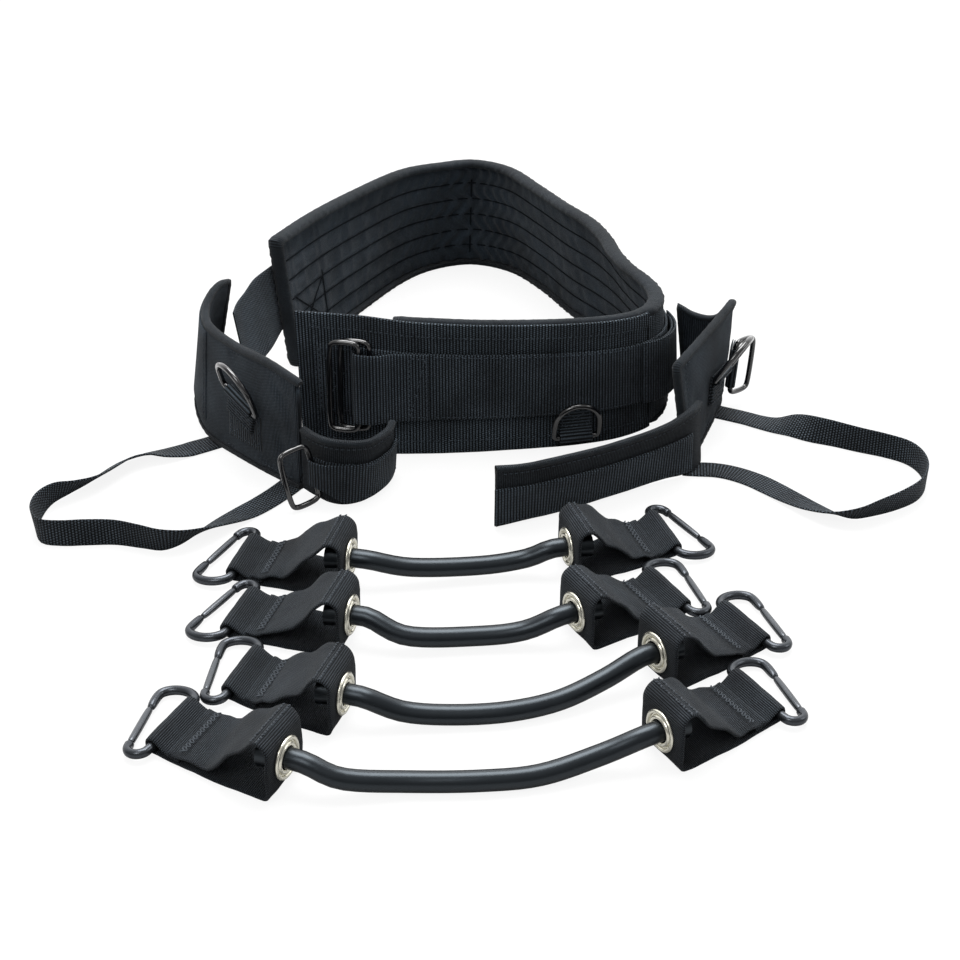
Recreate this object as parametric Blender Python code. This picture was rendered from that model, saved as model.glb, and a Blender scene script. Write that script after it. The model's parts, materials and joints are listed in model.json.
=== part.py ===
"""Jump training harness: a padded waist belt, two ankle cuffs and four resistance bands.

Everything lies on the floor at z = 0, as the set is laid out for use. Sizes are metres.
Route points are millimetres, because they are read like positions on a floor plan.
"""
import math

import bpy
import bmesh
from mathutils import Matrix, Vector

MM = 0.001

# Clearances: between touching pieces, of pins in bores, of flat tabs on bent walls and of
# flat rings on the twisting belt.
GAP = 0.0003
PIN_GAP = 0.0003
SEAT_GAP = 0.0008
RING_GAP = 0.0009

# Middle of the laid-out set on the floor plan, in millimetres.
LAYOUT_MIDDLE = (5.15, -2.55)

# Belt.
BELT_HEIGHT = 0.100
BELT_STEP = 0.015
PAD_THICKNESS = 0.0075
PAD_CROWN = 0.0022
PAD_CHANNELS = 6
PAD_START = 0.064
SHELL_THICKNESS = 0.0024
BINDING_DEPTH = 0.0045
BINDING_LIP = 0.0006
BINDING_BREAK = 0.0006
BINDING_ROUND = 0.0025
WEBBING_WIDTH = 0.050
WEBBING_THICKNESS = 0.0018
WEBBING_MIDDLE = 0.053

# Rectangular belt rings.
RING_WIRE = 0.0019
BELT_RING_LENGTH = 0.0635
BELT_RING_REACH = 0.0210
RING_CORNER = 0.0050
OUTER_RING_AT = 0.0445
INNER_RING_AT = 0.0510
WEBBING_END_AT = 0.0900

# Strap keeper on the belt's right bend.
KEEPER_FROM = 0.236
KEEPER_TO = 0.292
KEEPER_BULGE = 0.0050

# D-rings of the belt.
BELT_D_BAR = 0.0315
BELT_D_DEPTH = 0.0285
BELT_D_FRONT_AT = 0.1885
BELT_D_BACK_AT = 0.722
BELT_D_HEIGHT = 0.0115
BELT_D_LEAN = 7
BELT_TAB_WIDTH = 0.0230
BELT_TAB_TAIL = 0.022
TAB_THICKNESS = 0.0016
TAB_TAIL_THICKNESS = 0.0028

# Cuffs.
CUFF_STEP = 0.012
WRAP_THICKNESS = 0.0050
STRAP_BACK = 0.0030
STRAP_FRONT = 0.0024
STRAP_FRONT_TOP = 0.66
STRAP_FRONT_FOOT = 0.04
STRAP_SEAM = 0.0002
FOLD_WALL = 0.0014
CUFF_RING_LENGTH = 0.0400
CUFF_RING_REACH = 0.0215
CUFF_D_BAR = 0.0390
CUFF_D_DEPTH = 0.0340
CUFF_TAB_WIDTH = 0.0290
CUFF_TAB_TAIL = 0.0200
LEFT_D_AT = 0.1165
LEFT_D_MIDDLE = 0.57
LEFT_D_TURN = -20
LEFT_D_LEAN = 24
LEFT_RING_AT = 0.0148
LEFT_RING_MIDDLE = 0.470
LEFT_RING_TURN = 14
LEFT_RING_SWING = 70
LEFT_FOLD_START = 0.0073
LEFT_FOLD_THICK_TO = 0.0223
LEFT_FOLD_END = 0.0343
LEFT_FOLD_FOOT = 0.24
RIGHT_D_AT = 0.064
RIGHT_D_MIDDLE = 0.50
RIGHT_D_TURN = -10
RIGHT_D_LEAN = 30
RIGHT_RING_AT = 0.096
RIGHT_RING_MIDDLE = 0.36
RIGHT_RING_SWING = 146
RIGHT_STRAP_BARE = 0.016
STIRRUP_WIDTH = 0.0190
STIRRUP_THICKNESS = 0.0016
STIRRUP_STEP = 0.012

# Resistance bands.
LOOP_WIDTH = 0.043
LOOP_NARROWING = 0.0045
LOOP_WEBBING = 0.0022
LOOP_HEIGHT = 0.0370
TUBE_RADIUS = 0.0060
TUBE_HEIGHT = LOOP_HEIGHT / 2
TUBE_STEP = 0.011
TUBE_KNOB = 1.45
EYELET_BORE = TUBE_RADIUS + 0.0004
EYELET_BARREL = EYELET_BORE + 0.0009
EYELET_FLANGE = 0.0124
EYELET_WASHER = 0.0100
EYELET_RIM = 0.0016

# Carabiners.
CARABINER_WIRE = 0.0027
CARABINER_LENGTH = 0.0610
CARABINER_WIDE = 0.0240
CARABINER_NARROW = 0.0130
CARABINER_CROWN = 0.0085
GATE_WIRE = 0.0022
GATE_FOOT = -0.0200
GATE_TIP = 0.0090
GATE_GAP = 0.0005

EYE_RADIUS = CARABINER_WIRE + PIN_GAP
EYE_HEIGHT = EYE_RADIUS + LOOP_WEBBING
SHELL_OUT = SHELL_THICKNESS
WEBBING_IN = SHELL_OUT + BINDING_LIP + GAP
WEBBING_OUT = WEBBING_IN + WEBBING_THICKNESS
INNER_RING_OUT = WEBBING_OUT + RING_GAP + RING_WIRE
OUTER_RING_OUT = INNER_RING_OUT + 2 * RING_WIRE + GAP
FOLD_IN = OUTER_RING_OUT + RING_WIRE + RING_GAP
TAB_RADIUS = RING_WIRE + PIN_GAP + TAB_THICKNESS

# Floor plan of the belt wall, from its free front end round to its free back end:
# each row holds the top edge's place and the foot's place.
BELT_ROUTE = (
    ((-125, 40), (-122, 27)),
    ((-100, 36), (-99, 24)),
    ((-75, 31), (-75, 21)),
    ((-50, 23), (-50, 20)),
    ((-25, 19), (-25, 21)),
    ((0, 17), (0, 23)),
    ((30, 17), (30, 27)),
    ((60, 19), (62, 32)),
    ((88, 24), (92, 41)),
    ((108, 33), (114, 55)),
    ((121, 51), (128, 75)),
    ((123, 73), (134, 99)),
    ((117, 94), (136, 122)),
    ((107, 115), (134, 142)),
    ((99, 140), (128, 163)),
    ((94, 168), (117, 186)),
    ((84, 200), (101, 211)),
    ((65, 233), (80, 243)),
    ((46, 269), (57, 292)),
    ((24, 308), (30, 332)),
    ((-4, 325), (-6, 350)),
    ((-31, 319), (-42, 338)),
    ((-64, 302), (-70, 308)),
    ((-102, 253), (-98, 257)),
    ((-130, 209), (-121, 209)),
    ((-154, 161), (-142, 151)),
)

# The webbing's free tail past the belt's back end: top edge and lower edge, with heights.
TAIL_ROUTE = (
    ((-164, 140, 78), (-153, 131, 27)),
    ((-169, 121, 76), (-160, 111, 24)),
    ((-173, 104, 75), (-164, 94, 22)),
    ((-174, 88, 75), (-164, 78, 21)),
)

# Left cuff, closed: upright wrap from its back flap round to its stitched front end.
LEFT_WRAP_ROUTE = (
    ((-176, 102, 96), (-190, 106, 26)),
    ((-184, 88, 97), (-198, 92, 22)),
    ((-189, 72, 92), (-201, 74, 15)),
    ((-188, 55, 88), (-196, 54, 7)),
    ((-180, 38, 87), (-185, 35, 3)),
    ((-162, 14, 87), (-166, 14, 2.2)),
    ((-140, -12, 89), (-140, -12, 2)),
    ((-116, -36, 85), (-117, -32, 2)),
)
LEFT_STRAP_ROUTE = (
    ((-116.05, -34.65, 50), (-116.65, -32.35, 2)),
    ((-111, -41, 50), (-112, -37, 2)),
    ((-103, -49, 50), (-104, -44, 0.4)),
    ((-94, -53, 50), (-95, -49, 0.2)),
    ((-82, -53, 49), (-86, -49, 0.1)),
    ((-72, -49, 48), (-76, -43, 0.1)),
    ((-65, -41, 48), (-68, -31, 0.1)),
    ((-60, -32, 48), (-63, -20, 1)),
    ((-58, -22, 48), (-61, -8, 3)),
)
LEFT_STIRRUP_ROUTE = (
    (-176, 40, 0), (-189, 31, 0), (-203, 22, 0), (-217, 14, 12), (-230, 8, 28), (-243, -3, 34),
    (-258, -27, 38), (-270, -41, 52), (-281, -52, 75), (-287, -67, 95), (-287, -84, 98),
    (-280, -99, 92), (-266, -102, 88), (-250, -101, 86), (-232, -101, 90), (-215, -106, 96),
    (-201, -110, 104), (-188, -105, 124), (-176, -92, 146), (-165, -77, 165), (-154, -63, 178),
    (-144, -51, 180), (-136, -40, 180), (-129, -29, 180), (-123, -18, 180),
)

# Right cuff, open: from the free end of its strap to the wrap, the heel and the back arm.
RIGHT_STRAP_ROUTE = (
    ((10, -84, 48), (10, -78, 0.1)),
    ((30, -79, 47), (30, -69, 0.1)),
    ((55, -68, 47), (52, -59, 0.1)),
    ((80, -56, 47), (78, -44, 0.2)),
    ((105, -42, 48), (104, -29, 0.8)),
    ((123, -30, 49), (122, -20, 2)),
    ((133, -20, 50), (134, -15, 2)),
    ((141, -11, 51), (143, -9, 2)),
    ((147, 1, 51), (150, 4, 2)),
)
RIGHT_WRAP_ROUTE = (
    ((129, 3, 76), (140, -5, 2)),
    ((138, 16, 79), (146, 12, 2)),
    ((152, 38, 83), (155, 38, 2)),
    ((165, 61, 86), (164, 64, 2)),
    ((176, 82, 88), (171, 86, 2)),
    ((176, 95, 80), (173, 98, 2)),
    ((166, 103, 66), (167, 107, 2)),
    ((152, 107, 67), (158, 111, 2)),
    ((140, 110, 74), (149, 113, 2)),
)
RIGHT_STIRRUP_ROUTE = (
    (161, 84, 0), (172, 78, 0), (184, 72, 0), (196, 65, 0), (208, 57, 8), (220, 49, 35),
    (232, 38, 62), (246, 30, 78), (262, 21, 85), (280, 12, 90), (293, 2, 90), (299, -13, 90),
    (298, -30, 88), (290, -47, 82), (275, -60, 74), (257, -70, 64), (243, -75, 50),
    (230, -71, 30), (218, -59, 14), (206, -44, 4), (194, -29, 0), (183, -18, 0), (171, -10, 0),
    (160, -6, 0), (149, -5, 0), (138, -4, 0),
)

# Bands: each end's eyelet (x, y), heading in degrees from there to the carabiner, sideways
# drift and reach of the carabiner's eye, and the side on which the carabiner is wide,
# then the tube's own route points between its two ends.
BANDS = (
    ((-80, -145, 167, -6.5, 71, 1), (54.5, -132, 17.5, 17, 71, -1),
     ((-42, -146, 12), (0, -140, 9.5), (28, -136, 12))),
    ((-76, -207.5, 164, -4, 71, 1), (56, -204, 28, 11, 71, 1),
     ((-42, -217, 10), (0, -214, 8), (26, -212, 10.5))),
    ((-75, -284.5, 162, -18.5, 69, -1), (100, -245, 30, 12.5, 72, 1),
     ((-42, -289, 9.5), (-14, -288, 6.5), (16, -285, 6.5), (44, -276, 7.5), (70, -262, 12))),
    ((-102, -340.5, 156, -14.5, 79, -1), (97, -317.5, 30, 14, 75, 1),
     ((-72, -349, 11), (-38, -346, 6.7), (0, -345, 6.4), (32, -340, 6.4), (64, -329, 11))),
)


def finish(name, colour, roughness, metallic=0.0):
    """A plain material with the piece's own colour and gloss."""
    material = bpy.data.materials.new(name)
    material.use_nodes = True
    shader = material.node_tree.nodes["Principled BSDF"]
    shader.inputs["Base Color"].default_value = (*colour, 1.0)
    shader.inputs["Roughness"].default_value = roughness
    shader.inputs["Metallic"].default_value = metallic
    return material


def empty(name, location, parent=None, turn=0.0):
    """An axis marker that carries the pieces of one sub-assembly."""
    marker = bpy.data.objects.new(name, None)
    marker.location = location
    marker.rotation_euler = (0.0, 0.0, turn)
    marker.parent = parent
    bpy.context.collection.objects.link(marker)
    return marker


def piece(name, mesh, material, parent, origin=None, frame=None, smooth=None):
    """Finish a mesh as one named object, with its origin at origin or its axes in frame."""
    data = bpy.data.meshes.new(name)
    bmesh.ops.recalc_face_normals(mesh, faces=mesh.faces)
    if mesh.calc_volume(signed=True) < 0:
        bmesh.ops.reverse_faces(mesh, faces=mesh.faces)
    if origin is not None:
        bmesh.ops.translate(mesh, verts=mesh.verts, vec=-Vector(origin))
    mesh.to_mesh(data)
    mesh.free()
    if smooth is not None:
        data.shade_smooth()
        data.set_sharp_from_angle(angle=math.radians(smooth))
    data.materials.append(material)
    made = bpy.data.objects.new(name, data)
    made.parent = parent
    if origin is not None:
        made.location = origin
    if frame is not None:
        made.matrix_local = frame
    bpy.context.collection.objects.link(made)
    return made


def bend_through(points, t):
    """Point of a smooth curve through the route points, at t counted in points."""
    last = len(points) - 1
    i = min(int(t), last - 1)
    f = t - i
    before = points[i - 1] if i > 0 else 2 * points[0] - points[1]
    after = points[i + 2] if i + 2 <= last else 2 * points[last] - points[last - 1]
    a, b = points[i], points[i + 1]
    return 0.5 * (2 * a + (b - before) * f + (2 * before - 5 * a + 4 * b - after) * f ** 2
                  + (3 * a - 3 * b + after - before) * f ** 3)


def even_steps(tracks, step):
    """Walk several routes side by side and return their points at even steps of the first."""
    fine = 24
    last = len(tracks[0]) - 1
    stops = [k / fine for k in range(last * fine + 1)]
    walked = [0.0]
    for a, b in zip(stops, stops[1:]):
        walked.append(walked[-1] + (bend_through(tracks[0], b) - bend_through(tracks[0], a)).length)
    count = max(2, round(walked[-1] / step))
    places = []
    k = 0
    for n in range(count + 1):
        goal = walked[-1] * n / count
        while k < len(walked) - 2 and walked[k + 1] < goal:
            k += 1
        f = (goal - walked[k]) / (walked[k + 1] - walked[k])
        places.append(stops[k] + (stops[k + 1] - stops[k]) * f)
    return [[bend_through(track, t) for t in places] for track in tracks]


class Sheet:
    """A curved wall between a foot edge and a top edge, cut into stations along its length."""

    def __init__(self, foot, top):
        self.foot = foot
        self.top = top
        middle = [(a + b) / 2 for a, b in zip(foot, top)]
        self.walk = [0.0]
        for a, b in zip(middle, middle[1:]):
            self.walk.append(self.walk[-1] + (b - a).length)
        self.last = len(foot) - 1
        self.outward = []
        for i in range(len(foot)):
            ahead = middle[min(i + 1, self.last)] - middle[max(i - 1, 0)]
            self.outward.append(Vector((ahead.y, -ahead.x, 0.0)).normalized())

    def station(self, distance):
        """Station number at a distance in metres from the first end."""
        i = 0
        while i < self.last - 1 and self.walk[i + 1] < distance:
            i += 1
        return i + (distance - self.walk[i]) / (self.walk[i + 1] - self.walk[i])

    def at(self, s, w, d):
        """Point at station s, share w of the height and distance d outward."""
        i = min(max(math.floor(s), 0), self.last - 1)
        ends = [self.foot[k] + (self.top[k] - self.foot[k]) * w + self.outward[k] * d
                for k in (i, i + 1)]
        return ends[0] + (ends[1] - ends[0]) * (s - i)

    def frame(self, s, w, d, turn=0.0, lean=0.0):
        """Axes on the wall: x back along it, y outward, z up it; turned about y, leaned about x."""
        ahead = (self.at(s + 0.2, w, d) - self.at(s - 0.2, w, d)).normalized()
        up = self.at(s, w + 0.1, d) - self.at(s, w - 0.1, d)
        out = ahead.cross(up).normalized()
        axes = Matrix((-ahead, out, out.cross(ahead))).transposed()
        axes = axes @ Matrix.Rotation(turn, 3, "Y") @ Matrix.Rotation(-lean, 3, "X")
        return Matrix.Translation(self.at(s, w, d)) @ axes.to_4x4()

    def stations(self, first, last):
        """The ends of a run and every whole station between them."""
        inner = [i for i in range(math.ceil(first), math.floor(last) + 1)
                 if first + 0.05 < i < last - 0.05]
        return [first, *inner, last]


def sheet_of(route, step, height=None):
    """Sheet through a route of (top, foot) rows; without own heights the foot is on the floor."""
    tops = []
    feet = []
    for top, foot in route:
        if height is None:
            tops.append(Vector(top) * MM)
            feet.append(Vector(foot) * MM)
        else:
            tops.append(Vector((top[0] * MM, top[1] * MM, height)))
            feet.append(Vector((foot[0] * MM, foot[1] * MM, 0.0)))
    middles = [(a + b) / 2 for a, b in zip(feet, tops)]
    _, foot, top = even_steps((middles, feet, tops), step)
    return Sheet(foot, top)


def skin(sections, climbs, ring=False):
    """Join like sections into a closed solid, with every wall quad cut the same way."""
    mesh = bmesh.new()
    rows = [[mesh.verts.new(point) for point in section] for section in sections]
    count = len(climbs)
    followers = rows[1:] + rows[:1] if ring else rows[1:]
    for here, there in zip(rows, followers):
        for j in range(count):
            k = (j + 1) % count
            if climbs[j]:
                mesh.faces.new((here[j], here[k], there[k]))
                mesh.faces.new((here[j], there[k], there[j]))
            else:
                mesh.faces.new((here[j], here[k], there[j]))
                mesh.faces.new((here[k], there[k], there[j]))
    if not ring:
        caps = [mesh.faces.new(rows[0]), mesh.faces.new(rows[-1])]
        bmesh.ops.triangulate(mesh, faces=caps)
    return mesh


def climbing(section):
    """For each side of a (w, d) section, whether it climbs."""
    return [section[(j + 1) % len(section)][0] > section[j][0] for j in range(len(section))]


def along_sheet(sheet, first, last, section):
    """Sweep a (w, d) section along part of a sheet; section may depend on the station."""
    shape = section if callable(section) else lambda s: section
    rows = [[sheet.at(s, w, d) for w, d in shape(s)] for s in sheet.stations(first, last)]
    return skin(rows, climbing(shape(first)))


def wire(points, radius, sides=6, ring=False, normal=None, radii=None):
    """Round wire along points that lie in the plane with the given normal."""
    across = Vector(normal if normal is not None else (0, 0, 1))
    count = len(points)
    rows = []
    for i, point in enumerate(points):
        before = points[(i - 1) % count] if ring or i > 0 else point
        after = points[(i + 1) % count] if ring or i < count - 1 else point
        side = (after - before).normalized().cross(across).normalized()
        r = radius if radii is None else radii[i]
        rows.append([point + r * (math.cos(a) * side + math.sin(a) * across)
                     for a in (2 * math.pi * (k + 0.5) / sides for k in range(sides))])
    return skin(rows, [True] * sides, ring)


def arc(centre, radius, first, last, count):
    """Points of an arc in the x-z plane, angles in degrees."""
    for k in range(count):
        a = math.radians(first + (last - first) * k / (count - 1))
        yield (centre[0] + radius * math.cos(a), centre[1] + radius * math.sin(a))


def cut_out(outline, holes, first, last, place):
    """Solid between two copies of an outline with holes; place turns (u, v, depth) into a point."""
    mesh = bmesh.new()
    for depth in (first, last):
        edges = []
        for loop in (outline, *holes):
            dots = [mesh.verts.new(place(u, v, depth)) for u, v in loop]
            edges += [mesh.edges.new((dots[k], dots[(k + 1) % len(dots)])) for k in range(len(dots))]
        bmesh.ops.triangle_fill(mesh, use_beauty=True, edges=edges)
    mesh.verts.ensure_lookup_table()
    half = len(mesh.verts) // 2
    start = 0
    for loop in (outline, *holes):
        for k in range(len(loop)):
            a = start + k
            b = start + (k + 1) % len(loop)
            mesh.faces.new([mesh.verts[n] for n in (a, b, b + half, a + half)])
        start += len(loop)
    return mesh


def drill(target, name, radius, depth, frame):
    """Cut a round hole through a piece; the hole runs along the frame's x axis."""
    mesh = bmesh.new()
    turn = Matrix.Rotation(math.pi / 2, 3, "Y")
    bmesh.ops.create_cone(mesh, cap_ends=True, segments=18, radius1=radius, radius2=radius,
                          depth=depth, matrix=turn.to_4x4())
    data = bpy.data.meshes.new(name)
    mesh.to_mesh(data)
    mesh.free()
    cutter = bpy.data.objects.new(name, data)
    cutter.parent = target.parent
    cutter.matrix_local = frame
    cutter.hide_render = True
    cutter.display_type = "WIRE"
    bpy.context.collection.objects.link(cutter)
    cut = target.modifiers.new("hole", "BOOLEAN")
    cut.operation = "DIFFERENCE"
    cut.solver = "EXACT"
    cut.object = cutter


def d_ring(name, bar, depth, material, parent, frame):
    """D-shaped wire ring whose straight bar lies on the frame's x axis, its bow along z."""
    half = bar / 2
    corner = 0.003
    bow = half
    points = [(-half + corner, 0), (half - corner, 0)]
    points += list(arc((half - corner, corner), corner, -45, 0, 2))
    points += list(arc((0, depth - bow), bow, 0, 180, 9))
    points += list(arc((-half + corner, corner), corner, 180, 225, 2))
    mesh = wire([Vector((x, 0, z)) for x, z in points], RING_WIRE, ring=True, normal=(0, 1, 0))
    return piece(name, mesh, material, parent, frame=frame, smooth=70)


def flat_ring(name, length, reach, material, parent, frame):
    """Rectangular wire ring: its hinge bar lies on the frame's z axis, the ring towards +x."""
    half = length / 2
    r = RING_CORNER
    points = []
    for x, z, first in ((reach - r, half - r, 0), (r, half - r, 90),
                        (r, -half + r, 180), (reach - r, -half + r, 270)):
        points += list(arc((x, z), r, first, first + 90, 3))
    mesh = wire([Vector((x, 0, z)) for x, z in points], RING_WIRE, ring=True, normal=(0, 1, 0))
    return piece(name, mesh, material, parent, frame=frame, smooth=70)


def ring_tab(name, width, tail, material, parent, frame, upward=True):
    """Folded webbing tab round a ring's bar on the frame's x axis, with its tail on the wall."""
    r = TAB_RADIUS
    back = -r + TAB_TAIL_THICKNESS
    meet = math.degrees(math.asin(-back / r)) if abs(back) < r else 45
    outline = [(-r, tail), (-r, 0)]
    outline += list(arc((0, 0), r, 180, 450 + meet, 9))[1:]
    outline += [(back, tail)]
    bore = list(arc((0, 0), RING_WIRE + PIN_GAP, 0, 330, 12))
    flip = 1 if upward else -1
    mesh = cut_out(outline, [bore], -width / 2, width / 2,
                   lambda y, z, x: Vector((x, y, flip * z)))
    return piece(name, mesh, material, parent, frame=frame)


def floor_ribbon(name, route, material, parent):
    """Flat webbing laid along the floor, rolled about its own length by the angle in each row."""
    rows = [Vector((x * MM, y * MM, math.radians(roll))) for x, y, roll in route]
    spots = [Vector((row.x, row.y, 0.0)) for row in rows]
    rolls = [Vector((row.z, 0.0, 0.0)) for row in rows]
    spots, rolls = even_steps((spots, rolls), STIRRUP_STEP)
    sections = []
    for i, spot in enumerate(spots):
        ahead = (spots[min(i + 1, len(spots) - 1)] - spots[max(i - 1, 0)]).normalized()
        roll = rolls[i].x
        level = Vector((-ahead.y, ahead.x, 0.0))
        across = math.cos(roll) * level + math.sin(roll) * Vector((0, 0, 1))
        face = ahead.cross(across)
        half = across * STIRRUP_WIDTH / 2
        thick = face * STIRRUP_THICKNESS / 2
        rise = abs(half.z) + abs(thick.z)
        middle = spot + Vector((0, 0, rise))
        sections.append([middle - half - thick, middle + half - thick,
                         middle + half + thick, middle - half + thick])
    mesh = skin(sections, [True, True, False, False])
    return piece(name, mesh, material, parent, origin=spots[0])


def make_belt(whole, finishes):
    """Waist belt: quilted pad, ribbed shell, bound edge, webbing with its rings, D-rings."""
    belt = sheet_of(BELT_ROUTE, BELT_STEP, BELT_HEIGHT)
    web_foot = (WEBBING_MIDDLE - WEBBING_WIDTH / 2) / BELT_HEIGHT
    web_top = (WEBBING_MIDDLE + WEBBING_WIDTH / 2) / BELT_HEIGHT
    edge = BINDING_DEPTH / BELT_HEIGHT
    slack = GAP / BELT_HEIGHT
    start = belt.station(PAD_START)
    wing_end = start - BINDING_BREAK / BELT_STEP
    end = float(belt.last)
    foot, top = edge + slack, 1 - edge - slack
    origin = belt.at(0, 0, 0)

    def pad_section(s):
        inner = []
        for k in range(PAD_CHANNELS):
            low = top - (top - foot) * k / PAD_CHANNELS
            high = top - (top - foot) * (k + 1) / PAD_CHANNELS
            inner += [(low, -PAD_THICKNESS + PAD_CROWN), ((low + high) / 2, -PAD_THICKNESS)]
        inner.append((foot, -PAD_THICKNESS + PAD_CROWN))
        return [(foot, -GAP), (web_foot, -GAP), (web_top, -GAP), (top, -GAP)] + inner

    def shell_section(s):
        low = foot if s > wing_end else 0.0
        high = top if s > wing_end else 1.0
        return [(low, SHELL_OUT), (web_foot, SHELL_OUT), (web_top, SHELL_OUT), (high, SHELL_OUT),
                (high, 0.0), (web_top, 0.0), (web_foot, 0.0), (low, 0.0)]

    inset = (BINDING_DEPTH + GAP) / BELT_STEP
    piece("belt_pad", along_sheet(belt, start + inset, end - inset, pad_section),
          finishes["lining"], whole, origin=origin, smooth=40)
    flap = [[belt.at(s, w, d) for w, d in shell_section(0)]
            for s in belt.stations(0.0, wing_end)]
    body = [[belt.at(s, w, d) for w, d in shell_section(end)]
            for s in belt.stations(start - GAP / BELT_STEP, end - inset)]
    piece("belt_shell", skin(flap + body, climbing(shell_section(0))),
          finishes["ribbed"], whole, origin=origin)
    make_binding(belt, start, end, edge, finishes["binding"], whole, origin)
    make_webbing(belt, web_foot, web_top, finishes["webbing"], whole, origin)

    keeper_in = WEBBING_OUT + GAP
    first, last = belt.station(KEEPER_FROM), belt.station(KEEPER_TO)

    def keeper_section(s):
        swell = KEEPER_BULGE * math.sin(math.pi * (s - first) / (last - first))
        low, high = web_foot - 0.01, web_top + 0.01
        inside = keeper_in + swell
        outside = inside + WEBBING_THICKNESS
        return [(low, outside), (high, outside), (high, inside), (low, inside)]

    piece("belt_keeper", along_sheet(belt, first, last, keeper_section),
          finishes["webbing"], whole, origin=origin)

    middle = WEBBING_MIDDLE / BELT_HEIGHT
    outer = belt.frame(belt.station(OUTER_RING_AT), middle, OUTER_RING_OUT)
    step = Vector((OUTER_RING_AT - INNER_RING_AT, INNER_RING_OUT - OUTER_RING_OUT, 0))
    for name, frame in (("belt_ring_outer", outer),
                        ("belt_ring_inner", outer @ Matrix.Translation(step))):
        flat_ring(name, BELT_RING_LENGTH, BELT_RING_REACH, finishes["gloss_wire"], whole, frame)
    out = WEBBING_OUT + SEAT_GAP + TAB_RADIUS
    for side, place in (("front", BELT_D_FRONT_AT), ("back", BELT_D_BACK_AT)):
        frame = belt.frame(belt.station(place), BELT_D_HEIGHT / BELT_HEIGHT, out)
        lean = Matrix.Rotation(-math.radians(BELT_D_LEAN), 4, "X")
        d_ring("belt_d_ring_" + side, BELT_D_BAR, BELT_D_DEPTH, finishes["gloss_wire"], whole,
               frame @ lean)
        ring_tab("belt_d_tab_" + side, BELT_TAB_WIDTH, BELT_TAB_TAIL, finishes["tab"], whole, frame)


def make_binding(belt, start, end, edge, material, whole, origin):
    """Rolled tape round the padded part; at its front end it covers the pad's edge alone."""
    inside = -PAD_THICKNESS - BINDING_LIP
    outside = SHELL_OUT + BINDING_LIP
    side = BINDING_DEPTH / BELT_STEP
    drop = 1 - 2 * edge
    steps = 6
    runs = belt.stations(start + side, end - side)
    track = [(s, 1 - edge, 0.0, edge, outside) for s in runs[1:-1]]
    track.append((end - side, 1 - edge, side, edge, outside))
    track += [(end - side, 1 - edge - drop * k / steps, side, 0.0, outside)
              for k in range(1, steps)]
    track.append((end - side, edge, side, -edge, outside))
    track += [(s, edge, 0.0, -edge, outside) for s in reversed(runs[1:-1])]
    track.append((start + side, edge, -side, -edge, outside))
    track += [(start + side, edge + drop * k / steps, -side, 0.0, -GAP)
              for k in range(steps + 1)]
    track.append((start + side, 1 - edge, -side, edge, outside))
    rows = []
    for s, w, ds, dw, out in track:
        profile = ((0.0, out), (0.55, out), (1.0, out - BINDING_ROUND),
                   (1.0, inside + BINDING_ROUND), (0.55, inside), (0.0, inside))
        rows.append([belt.at(s + ds * e, w + dw * e, d) for e, d in profile])
    piece("belt_binding", skin(rows, [True] * 6, ring=True), material, whole,
          origin=origin, smooth=50)


def make_webbing(belt, foot, top, material, whole, origin):
    """One strap: sewn end on the front, fold round both rings, round the belt, free tail."""
    half = WEBBING_THICKNESS / 2
    lay = WEBBING_IN + half
    over = FOLD_IN + half
    fold_middle = (lay + over) / 2
    fold_radius = (over - lay) / 2
    fold_at = OUTER_RING_AT + RING_WIRE * 0.5
    path = [(WEBBING_END_AT, lay + WEBBING_THICKNESS + GAP),
            (WEBBING_END_AT - 0.010, lay + WEBBING_THICKNESS + GAP),
            (INNER_RING_AT + 0.016, lay + 0.0045),
            (INNER_RING_AT + 0.007, over - 0.0018),
            (INNER_RING_AT + 0.001, over)]
    path += [(fold_at - fold_radius * math.sin(a), fold_middle + fold_radius * math.cos(a))
             for a in (math.pi * k / 8 for k in range(9))]
    points = [Vector(point) for point in path]
    rows = []
    for i, point in enumerate(points):
        ahead = (points[min(i + 1, len(points) - 1)] - points[max(i - 1, 0)]).normalized()
        normal = Vector((ahead.y, -ahead.x)) * half
        if i == len(points) - 1:
            normal = Vector((0.0, half))
        inner, outer = point - normal, point + normal
        if i == len(points) - 1:
            inner, outer = outer, inner
        rows.append([belt.at(belt.station(inner.x), foot, inner.y),
                     belt.at(belt.station(inner.x), top, inner.y),
                     belt.at(belt.station(outer.x), top, outer.y),
                     belt.at(belt.station(outer.x), foot, outer.y)])
    for s in belt.stations(belt.station(fold_at), float(belt.last))[1:]:
        rows.append([belt.at(s, foot, lay + half), belt.at(s, top, lay + half),
                     belt.at(s, top, lay - half), belt.at(s, foot, lay - half)])
    tail = Sheet([belt.at(belt.last, foot, lay)] + [Vector(low) * MM for _, low in TAIL_ROUTE],
                 [belt.at(belt.last, top, lay)] + [Vector(high) * MM for high, _ in TAIL_ROUTE])
    for s in range(1, tail.last + 1):
        rows.append([tail.at(s, 0, half), tail.at(s, 1, half),
                     tail.at(s, 1, -half), tail.at(s, 0, -half)])
    piece("belt_webbing", skin(rows, [True, True, False, False]), material, whole, origin=origin)


def strap_section(front, low):
    """Two layers of a closing strap: a wide backing and a narrower front tape from low up."""
    back = STRAP_BACK / 2
    face = back + front
    high = STRAP_FRONT_TOP
    return [(0, back), (low, back), (low, face), (high, face), (high, back), (1, back),
            (1, -back), (0, -back)]


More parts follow.
